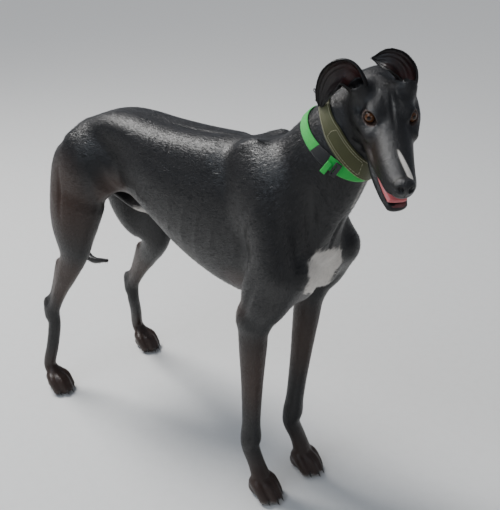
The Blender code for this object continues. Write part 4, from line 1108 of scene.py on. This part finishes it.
def ear_skin(name, rows):
    across, steps = ((45, 12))
    grid, thick = ear_sheet(rows, across, steps)
    thick = thick - 0.0004
    n, m = thick.shape
    normal = np.cross(np.gradient(grid, axis=0), np.gradient(grid, axis=1))
    normal /= np.linalg.norm(normal, axis=2)[..., None]
    s = np.linspace(0, 1, n)[:, None] * np.ones((1, m))
    t = np.linspace(-1, 1, m)[None] * np.ones((n, 1))
    ripple = 0.0007 * np.sin(7 * t + 5 * s) * s + 0.0004 * np.sin(17 * t)
    grid = grid + normal * ripple[..., None]
    edge = np.sqrt(np.clip(1 - np.abs(t) ** 14, 0.05, 1)) * np.sqrt(np.clip(1 - s ** 30, 0.05, 1))
    points = np.vstack([(grid + q * normal * (thick * edge)[..., None]).reshape(-1, 3) for q in (1, -1)])
    i, j = (a.ravel() for a in np.meshgrid(np.arange(n - 1), np.arange(m - 1), indexing="ij"))
    a = i * m + j
    top = np.stack([a, a + m, a + m + 1, a + 1], 1)
    quads = [top, n * m + top[:, ::-1]]
    rim = list(range(m)) + [i * m + m - 1 for i in range(1, n)]
    rim += [(n - 1) * m + j for j in range(m - 2, -1, -1)] + [i * m for i in range(n - 2, 0, -1)]
    rim = np.array(rim)
    after = np.roll(rim, -1)
    quads.append(np.stack([rim, after, n * m + after, n * m + rim], 1))
    quads = np.vstack(quads)
    made = add_mesh(name, points + SHIFT, quads)
    s2, t2 = np.tile(s.ravel(), 2), np.tile(t.ravel(), 2)
    facing = curve(rows, steps)[:, 3:6]
    cup = (normal * (facing @ HEAD.turn.T)[:, None]).sum(2).ravel()
    inner = np.concatenate([cup > 0, cup < 0])
    bare = inner * smooth((1.1 - s2) / 0.8) * smooth((1.05 - np.abs(t2)) / 0.5)
    deep = 0.5 * inner * smooth((0.42 - s2) / 0.3) * smooth((0.7 - np.abs(t2)) / 0.4)
    paint(made, "coat", layered(BLACK, (0.85 * bare, (0.02, 0.0085, 0.008)), (deep, (0.085, 0.03, 0.028))))
    finish_piece(made, "ear_skin", EAR_MATERIAL, name)
    made.name = name + "_skin"
    faces_normal = np.concatenate([normal.reshape(-1, 3), -normal.reshape(-1, 3)])
    along = np.gradient(grid, axis=0).reshape(-1, 3)
    return points, quads[:2 * len(top)], faces_normal, np.tile(along, (2, 1)), bare


EAR_MATERIAL = ear_material()
ears = [ear_skin("ear_right", RIGHT_EAR), ear_skin("ear_left", LEFT_EAR)]


# Eyes

def eyeball(name, k):
    ball, look, inner = eye_place(k)
    across, around = ((64, 96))
    angle = np.linspace(0, math.pi, across + 1)
    turn = round_angles(around)[:, None]
    side = np.cos(turn) * inner + np.sin(turn) * np.cross(look, inner)
    radius = EYE_RADIUS - 0.00035 + 0.0003 * np.exp(-(angle / 0.55) ** 4)
    rings = [r * (math.cos(a) * look + math.sin(a) * side) for r, a in zip(radius, angle)]
    points = HEAD.out(ball + np.vstack(rings))
    made = add_mesh(name + "_ball", points + SHIFT, net_quads(across + 1, around)[:, [0, 3, 2, 1]])
    a = np.repeat(angle, around)
    b = np.tile(turn[:, 0], across + 1)
    rays = 0.5 + 0.5 * np.sin(b * 46 + 3 * np.sin(b * 11)) * np.sin(b * 29 + 1)
    iris = np.array([0.062, 0.022, 0.007]) * (0.65 + 0.6 * rays)[:, None]
    paint(made, "eye", layered(iris, (smooth((0.42 - np.abs(a - 0.4)) / 0.4) * 0.6, (0.095, 0.036, 0.011)),
                               (smooth((a - 0.66) / 0.12), (0.012, 0.007, 0.005)),
                               (smooth((a - 0.9) / 0.2), (0.1, 0.075, 0.06)),
                               (smooth((0.3 - a) / 0.04), (0.0015, 0.0015, 0.002))))
    return finish_piece(made, "eye", eye_material(name + " iris"), name)


eyeball("eye_right", -1)
eyeball("eye_left", 1)


# Tongue

def tongue_piece():
    steps = HEAD.place([add(tube(TONGUE), 0.004),
                        swell((0.05, 0.002, -0.059), (0.06, 0.0035, 0.006), -0.0022, (1, 0, -0.15))])
    points, quads, _, _ = fine_net(steps, (0.36, -0.1, 0.68), (0.49, 0.02, 0.76),
                                   0.001, 0.0002)
    made = add_mesh("tongue_flesh", points + SHIFT, quads)
    # Painted shade: the tongue is painted darker towards the throat, where it runs into the shaded mouth
    back = smooth((0.03 - HEAD.into(points)[:, 0]) / 0.04)
    paint(made, "coat", layered((0.55, 0.13, 0.135), (back, (0.3, 0.07, 0.075))))
    return finish_piece(made, "tongue", tongue_material(), "tongue")


tongue_piece()


# Claws

def claw_mesh():
    verts, faces, sides = [], [], 12
    turn = round_angles(sides)
    # How far forward, how far down, and the radius
    path = curve([(0.0, 0.0, 0.0032), (0.0075, -0.0006, 0.0029), (CLAW_LENGTH, -0.0042, 0.0017),
                  (CLAW_LENGTH + 0.0032, -0.0073, 0.0004)])
    for leg, size in ((FORE_RIGHT, 1.0), (FORE_LEFT, 1.0), (HIND_RIGHT, HIND_PAW), (HIND_LEFT, HIND_PAW)):
        x, y, _ = leg["paw"]
        for across, reach in TOES:
            root = np.array([x + reach * size + CLAW_AHEAD, y + across * TOE_STEP * size, CLAW_HEIGHT])
            faces.append(len(verts) * sides + net_quads(len(path), sides))
            for forward, down, radius in path:
                verts.append(root + np.stack([np.full(sides, forward), 0.82 * radius * np.cos(turn),
                                              down + radius * np.sin(turn)], 1))
    made = add_mesh("claws", np.vstack(verts) + SHIFT, np.vstack(faces))
    horn = plain_material("dark horn", (0.016, 0.013, 0.011, 1), (0.09, 0.07, 0.055, 1), 0.28)
    return finish_piece(made, "coat", horn)


claw_mesh()


# Collars

FARTHEST_NECK = 0.14


class Band:
    """A strap round the neck: a place and an outward way for each angle and each place across."""

    def __init__(self, centre, normal, width_front, width_back, sections=120, spread=9):
        self.centre, self.normal = np.asarray(centre, float), unit(normal)
        body = neck() + trunk()[:1]
        front = unit(np.array([1.0, -0.4, 0]) - self.normal * self.normal[0])
        side = np.cross(self.normal, front)
        self.angle = round_angles(sections)
        self.way = np.outer(np.cos(self.angle), front) + np.outer(np.sin(self.angle), side)
        self.width = width_back + (width_front - width_back) * np.clip(0.5 + 0.8 * np.cos(self.angle), 0, 1)
        self.across = np.linspace(-0.5, 0.5, spread)
        start = self.centre + (self.across[:, None] * self.width)[..., None] * self.normal
        near, far = np.zeros(start.shape[:2]), np.full(start.shape[:2], FARTHEST_NECK)
        for _ in range(20):
            half = (near + far) / 2
            places = start + half[..., None] * self.way
            inside = evaluate(places.reshape(-1, 3), body).reshape(half.shape) < 0
            near, far = np.where(inside, half, near), np.where(inside, far, half)
        flat = near.copy()
        for _ in range(6):
            flat = (np.roll(flat, 1, 1) + 2 * flat + np.roll(flat, -1, 1)) / 4
        self.surface = start + np.maximum(flat, near)[..., None] * self.way
        along = np.roll(self.surface, -1, 1) - np.roll(self.surface, 1, 1)
        over = np.gradient(self.surface, axis=0)
        out = np.cross(along, over)
        out /= np.linalg.norm(out, axis=2)[..., None]
        self.out = out * np.sign((out * self.way).sum(2))[..., None]
        step = np.linalg.norm(np.roll(self.surface, -1, 1) - self.surface, axis=2)[spread // 2]
        self.run = np.concatenate([[0], np.cumsum(step)])

    def turn_at(self, point):
        """How far round the band the point is, from 0 to 1."""
        return np.argmin(np.linalg.norm(self.surface[4] - np.array(point), axis=1)) / len(self.angle)

    def at(self, turn, across, height):
        """A point over the band. Turn runs from 0 to 1 round it, across from -0.5 to 0.5."""
        m = len(self.angle)
        x = (turn % 1.0) * m
        i, f = int(x) % m, x - int(x)
        y = np.clip((across + 0.5) * (len(self.across) - 1), 0, len(self.across) - 1.001)
        j, g = int(y), y - int(y)

        def blend(a):
            k = (i + 1) % m
            return (a[j, i] * (1 - f) + a[j, k] * f) * (1 - g) + (a[j + 1, i] * (1 - f) + a[j + 1, k] * f) * g
        out = unit(blend(self.out))
        return blend(self.surface) + out * height, out

    def strap(self, name, low, high, slot, material, *nodes):
        m = len(self.angle)
        crown = np.sqrt(np.clip(1 - (np.abs(self.across) * 2) ** 8, 0.1, 1))
        upper = self.surface + self.out * (low + (high - low) * crown)[:, None, None]
        lower = (self.surface + self.out * low)[::-1]
        loop = np.vstack([upper, lower])
        rows = len(loop)
        made = add_mesh(name, loop.reshape(-1, 3) + SHIFT, net_quads(rows, m, True))
        i, j = divmod(np.arange(rows * m), m)
        i2 = (i + 1) % rows
        v = np.concatenate([self.across, self.across[::-1]]) * self.width.mean()
        u = np.stack([self.run[j], self.run[j + 1], self.run[j + 1], self.run[j]], 1)
        w = np.stack([v[i], v[i], v[i2], v[i2]], 1)
        made.data.uv_layers.new(name="Band").data.foreach_set("uv", np.stack([u, w], -1).ravel())
        return finish_piece(made, slot, material, *nodes)


def stitches(name, band, lines, height, length, gap, radius, material, slot):
    """Rows of thread over a band. Each line has the turn and the place across at its start and its end."""
    verts, faces, sides = [], [], 6
    turn = round_angles(sides)
    for (t0, a0), (t1, a1) in lines:
        distance = math.hypot((t1 - t0) * band.run[-1], (a1 - a0) * band.width.mean())
        count = max(1, int(distance / (length + gap)))
        half = length / 2 / distance
        for i in range(count):
            middle = (i + 0.5) / count
            ends = [band.at(t0 + (t1 - t0) * f, a0 + (a1 - a0) * f, height)
                    for f in (middle - half, middle, middle + half)]
            line = unit(ends[2][0] - ends[0][0])
            faces.append(len(verts) * sides + net_quads(3, sides))
            for (p, out), up, r in zip(ends, (-0.0002, 0.00025, -0.0002), (0.7, 1.0, 0.7)):
                ring = np.outer(np.cos(turn), np.cross(line, out)) + np.outer(np.sin(turn), out)
                verts.append(p + out * up + radius * r * ring)
    made = add_mesh(name, np.vstack(verts) + SHIFT, np.vstack(faces))
    return finish_piece(made, slot, material)


olive_band = Band(**OLIVE)
green_band = Band(**GREEN)
OLIVE_MATERIAL = webbing_material("olive waxed band", (0.06, 0.062, 0.018, 1), (0.022, 0.023, 0.009, 1),
                                  5200.0, 0.42, 0.0002)
GREEN_MATERIAL = webbing_material("green webbing", (0.018, 0.42, 0.055, 1), (0.008, 0.2, 0.03, 1),
                                  3100.0, 0.48, 0.0005)
BLACK_WEBBING = webbing_material("black webbing", (0.01, 0.01, 0.011, 1), (0.004, 0.004, 0.005, 1),
                                 3100.0, 0.5, 0.0005)
# The black part of the green collar, in turns on from the keeper
BLACK_FROM, BLACK_TO = 0.8, 0.985
THREAD = plain_material("stitching thread", (0.42, 0.4, 0.27, 1), (0.22, 0.2, 0.12, 1), 0.55)
olive_band.strap("olive_band", 0.0006, 0.0031, "olive_leather", OLIVE_MATERIAL, "collar_olive")
green_strap = green_band.strap("green_band", 0.0006, 0.0025, "green_webbing", GREEN_MATERIAL, "collar_green")
green_strap.data.materials.append(BLACK_WEBBING)
turns = (np.tile(np.arange(len(green_band.angle)), 18) + 0.5) / len(green_band.angle)
turns = (turns - green_band.turn_at(KEEPER)) % 1.0
black_part = (turns > BLACK_FROM) & (turns < BLACK_TO)
green_strap.data.polygons.foreach_set("material_index", black_part.astype(np.int32))
# A line of stitches along each edge, and a box with a point where the collar's end is sewn down
box_at = olive_band.turn_at((0.345, -0.05, 0.735))
start, end, tip, edge = box_at - 0.13, box_at + 0.14, box_at - 0.165, 0.3
olive_lines = [((0, -0.4), (1, -0.4)), ((0, 0.4), (1, 0.4)), ((start, edge), (end, edge)),
               ((start, -edge), (end, -edge)), ((start, -edge), (tip, 0.0)), ((tip, 0.0), (start, edge)),
               ((end, -edge), (end, edge))]
stitches("olive_stitches", olive_band, olive_lines, 0.0031, 0.0032, 0.001, 0.00045, THREAD, "olive_leather")


def plate_piece(name, point, normal, size, height, holes, slot, material, node, ease=0.0009):
    """A moulded plate with slots, its edges rounded."""
    at, turn = on_band(point, normal)
    half_a, half_b = size[0] / 2, size[1] / 2
    cuts_a = sorted({-half_a, half_a} | {x for h in holes for x in (h[0] - h[2] / 2, h[0] + h[2] / 2)})
    cuts_b = sorted({-half_b, half_b} | {x for h in holes for x in (h[1] - h[3] / 2, h[1] + h[3] / 2)})
    mesh = bmesh.new()
    corner = {}
    for i, a in enumerate(cuts_a):
        for j, b in enumerate(cuts_b):
            for k, up in enumerate((0.0, height)):
                corner[i, j, k] = mesh.verts.new((a, b, up))

    def solid(i, j):
        if not (0 <= i < len(cuts_a) - 1 and 0 <= j < len(cuts_b) - 1):
            return False
        a, b = (cuts_a[i] + cuts_a[i + 1]) / 2, (cuts_b[j] + cuts_b[j + 1]) / 2
        return not any(abs(a - h[0]) < h[2] / 2 and abs(b - h[1]) < h[3] / 2 for h in holes)
    for i in range(len(cuts_a) - 1):
        for j in range(len(cuts_b) - 1):
            if not solid(i, j):
                continue
            four = [(i, j), (i + 1, j), (i + 1, j + 1), (i, j + 1)]
            others = [(i, j - 1), (i + 1, j), (i, j + 1), (i - 1, j)]
            mesh.faces.new([corner[p + (1,)] for p in four])
            mesh.faces.new([corner[p + (0,)] for p in four[::-1]])
            for p, q, other in zip(four, four[1:] + four[:1], others):
                if not solid(*other):
                    mesh.faces.new([corner[p + (0,)], corner[q + (0,)], corner[q + (1,)], corner[p + (1,)]])
    bmesh.ops.delete(mesh, geom=[v for v in mesh.verts if not v.link_faces], context="VERTS")
    sharp = [e for e in mesh.edges if len(e.link_faces) == 2 and e.calc_face_angle() > 0.5]
    bmesh.ops.bevel(mesh, geom=sharp, offset=ease, segments=3, profile=0.5, affect="EDGES")
    base = at + turn[2] * (BAND_THICK + 0.0002)
    for v in mesh.verts:
        v.co = Vector(base + np.array(v.co) @ turn + SHIFT)
    data = bpy.data.meshes.new(name)
    mesh.to_mesh(data)
    mesh.free()
    for poly in data.polygons:
        poly.use_smooth = True
    return finish_piece(put(name, data), slot, material, node)


def ring_piece(name, point, normal, material, slot, node):
    """A ring of wire, flat along its low side, that stands on the band."""
    at, (across, along, out) = on_band(point, normal)
    low = -0.6
    centre = at + out * (BAND_THICK + 0.0003 - low * RING_RADIUS + RING_WIRE)
    flat = unit(along * 0.25 + across)
    first = np.cross(flat, out)
    points, turns, sides = [], 64, 16
    b = round_angles(sides)[:, None]
    for a in round_angles(turns):
        way = math.cos(a) * first + math.sin(a) * out if math.sin(a) > low else -out
        middle = math.cos(a) * first + max(math.sin(a), low) * out
        points.append(centre + middle * RING_RADIUS + RING_WIRE * (way * np.cos(b) + flat * np.sin(b)))
    made = add_mesh(name, np.vstack(points) + SHIFT, net_quads(turns, sides, True))
    return finish_piece(made, slot, material, node)


PLASTIC = plain_material("moulded black plastic", (0.01, 0.01, 0.011, 1), (0.035, 0.035, 0.036, 1), 0.34)
METAL = plain_material("blackened steel", (0.1, 0.1, 0.105, 1), (0.22, 0.21, 0.2, 1), 0.22, 1.0)
LOOP = plain_material("green loop", (0.018, 0.4, 0.055, 1), (0.008, 0.18, 0.03, 1), 0.5, 0.0, 900.0, 0.0004)
SADDLE = plain_material("olive saddle", (0.05, 0.052, 0.016, 1), (0.02, 0.02, 0.008, 1), 0.45)
green, olive = GREEN["normal"], OLIVE["normal"]
plate_piece("slider", SLIDER, green, (0.023, 0.011), 0.0034, [(0, 0.002, 0.0165, 0.0012)],
            "black_plastic", PLASTIC, "collar_slider")
plate_piece("keeper", KEEPER, green, (0.021, 0.009), 0.003, [], "green_webbing", LOOP, "collar_keeper")
plate_piece("buckle", BUCKLE, olive, (0.0225, 0.018), 0.0034, [(0, 0, 0.0145, 0.009)],
            "dark_metal", METAL, "collar_buckle")
ring_piece("ring", RING, olive, METAL, "dark_metal", "collar_ring")
plate_piece("ring_saddle", RING, olive, (0.02, 0.008), 0.0046, [], "olive_leather", SADDLE, "collar_ring")


# The coat

# Tufts to the square metre
BODY_TUFTS, LEG_TUFTS, TAIL_TUFTS = 110000.0, 190000.0, 160000.0
HEAD_TUFTS, FACE_TUFTS, EAR_TUFTS = 380000.0, 600000.0, 550000.0
SHARE = 1.0
PIECE_TUFTS = 62000


def coat(material):
    rng = np.random.default_rng(7)
    pools = []
    for name, (points, quads, normals, clear) in zip(("body", "head"), shells):
        middle = points[quads].mean(1)
        keep = clear[quads].all(1) & (middle[:, 2] > 0.004)
        if name == "body":
            keep &= (middle - np.array(OLIVE["centre"])) @ unit(OLIVE["normal"]) < -0.012
            density = np.where(middle[:, 2] < 0.15, LEG_TUFTS, BODY_TUFTS)
        else:
            _, _, grey, gum, nose = marks(middle)
            keep &= (nose < 0.3) & (gum < 0.5) & (grey < 0.3)
            density = np.where(HEAD.into(middle)[:, 0] > 0.0, FACE_TUFTS, HEAD_TUFTS)
        under_green = np.abs((middle - np.array(GREEN["centre"])) @ unit(GREEN["normal"])) < 0.01
        keep &= ~(under_green & (middle[:, 0] > 0.25) & (middle[:, 2] > 0.62))
        pools.append((name, points, normals, roots_on(points, quads, density * keep * SHARE, rng)[0]))
    pools.append(("tail", tail_points, tail_normals,
                  roots_on(tail_points, tail_quads, TAIL_TUFTS * SHARE, rng)[0]))
    for name, points, normals, at_roots in pools:
        p, nrm = at_roots(points), at_roots(normals)
        nrm = nrm / (np.linalg.norm(nrm, axis=1)[:, None] + 1e-9)
        count = len(p)
        ways = lie(p, nrm)
        swirl = rng.normal(0, 0.16, (count, 1))
        ways = ways * np.cos(swirl) + np.cross(nrm, ways) * np.sin(swirl)
        if name == "head":
            muzzle = smooth((HEAD.into(p)[:, 0] + 0.02) / 0.08)
            length, width = 0.0052 - 0.003 * muzzle, 0.00042 - 0.00014 * muzzle
        elif name == "body":
            low = smooth((0.16 - p[:, 2]) / 0.1)
            length, width = 0.009 - 0.0045 * low, 0.00062 - 0.0002 * low
        else:
            length, width = 0.007, 0.0005
        length = length * rng.uniform(0.7, 1.25, count)
        width = width * rng.uniform(0.75, 1.25, count)
        lift = rng.uniform(0.1, 0.2, count)
        jitter = rng.normal(0, 0.0022, count)
        # The tufts take the coat's colours, the painted highlight on the muscles included
        colour = coat_colour(p, jitter)[0] * rng.uniform(0.7, 1.25, (count, 1))
        colour = np.clip(colour + 0.016 * rng.random((count, 1)) ** 5, 0, 1)
        part = np.full(count, 6) if name == "tail" else part_of(p)
        lows, sizes = np.zeros((7, 3)), np.ones(7)
        for i in np.unique(part):
            lows[i] = p[part == i].min(0)
            sizes[i] = np.ptp(p[part == i], 0).max()
        uv = chart_uv(p, nrm, part, lows, sizes)
        start = p - nrm * ROOT_DEPTH + SHIFT
        for i, begin in enumerate(range(0, count, PIECE_TUFTS)):
            some = slice(begin, begin + PIECE_TUFTS)
            tufts("coat_%s_%d" % (name, i + 1), start[some], nrm[some], ways[some], length[some],
                  width[some], lift[some], colour[some], uv[some], material, "coat")


def ear_coat(material):
    rng = np.random.default_rng(11)
    for name, (points, quads, normals, along, bare) in zip(("coat_ear_right", "coat_ear_left"), ears):
        density = EAR_TUFTS * SHARE * (1 - 0.85 * bare[quads].mean(1))
        at_roots, first = roots_on(points, quads, density, rng)
        p, nrm, ways = at_roots(points), normals[first], along[first]
        ways = ways - nrm * (ways * nrm).sum(1)[:, None]
        ways /= np.linalg.norm(ways, axis=1)[:, None]
        swirl = rng.normal(0, 0.2, (len(p), 1))
        ways = ways * np.cos(swirl) + np.cross(nrm, ways) * np.sin(swirl)
        colour = np.array(BLACK) * rng.uniform(0.8, 2.0, (len(p), 1))
        uv = chart_uv(p, nrm, np.full(len(p), 7), np.tile(p.min(0), (8, 1)), np.full(8, np.ptp(p, 0).max()))
        length = rng.uniform(0.0025, 0.0045, len(p))
        width = rng.uniform(0.00022, 0.00038, len(p))
        lift = rng.uniform(0.08, 0.2, len(p))
        tufts(name, p + SHIFT, nrm, ways, length, width, lift, colour, uv, material, "ear_skin")


TUFTS = tuft_material()
coat(TUFTS)
ear_coat(TUFTS)


# Room, light and camera

def room():
    bpy.ops.mesh.primitive_plane_add(size=30, location=(0, 0, 0))
    floor = bpy.context.object
    floor.name = "floor"
    pale = plain_material("pale floor", (0.62, 0.62, 0.61, 1), (0.58, 0.58, 0.57, 1), 0.7)
    floor.data.materials.append(pale)
    world = bpy.data.worlds.new("Studio")
    bpy.context.scene.world = world
    world.use_nodes = True
    world.node_tree.nodes["Background"].inputs["Color"].default_value = (0.82, 0.88, 1.0, 1)
    world.node_tree.nodes["Background"].inputs["Strength"].default_value = 0.3
    for name, place, aim, size, power, tone in (
            ("key", (-1.7, -0.1, 2.6), (0, 0, 0.4), 1.1, 75.0, (1.0, 0.98, 0.95)),
            ("sky", (-0.4, -1.9, 2.6), (0, 0, 0.5), 1.6, 26.0, (0.78, 0.88, 1.0)),
            ("front", (2.4, -2.0, 1.8), (0.2, 0, 0.5), 1.0, 9.0, (1.0, 1.0, 1.0))):
        data = bpy.data.lights.new(name, "AREA")
        data.energy, data.size, data.color = power, size, tone
        light = put(name, data)
        light.location = place
        light.rotation_euler = (Vector(aim) - Vector(place)).to_track_quat("-Z", "Y").to_euler()
    data = bpy.data.lights.new("sun", "SUN")
    data.energy, data.angle = 1.9, 0.3
    sun = put("sun", data)
    sun.rotation_euler = Vector((0.62, 0.05, -1.0)).to_track_quat("-Z", "Y").to_euler()


room()
LENS = 53.64
CAMERA_PLACE = (0.95759 + SHIFT[0], -0.94047 + SHIFT[1], 1.10231)
LOOKS_DOWN, TURNED = 26.906, 40.649
view = bpy.data.cameras.new("view")
view.lens = LENS
camera = put("view", view)
camera.location = CAMERA_PLACE
camera.rotation_euler = (math.radians(90 - LOOKS_DOWN), 0, math.radians(TURNED))
bpy.context.scene.camera = camera
bpy.context.view_layer.update()
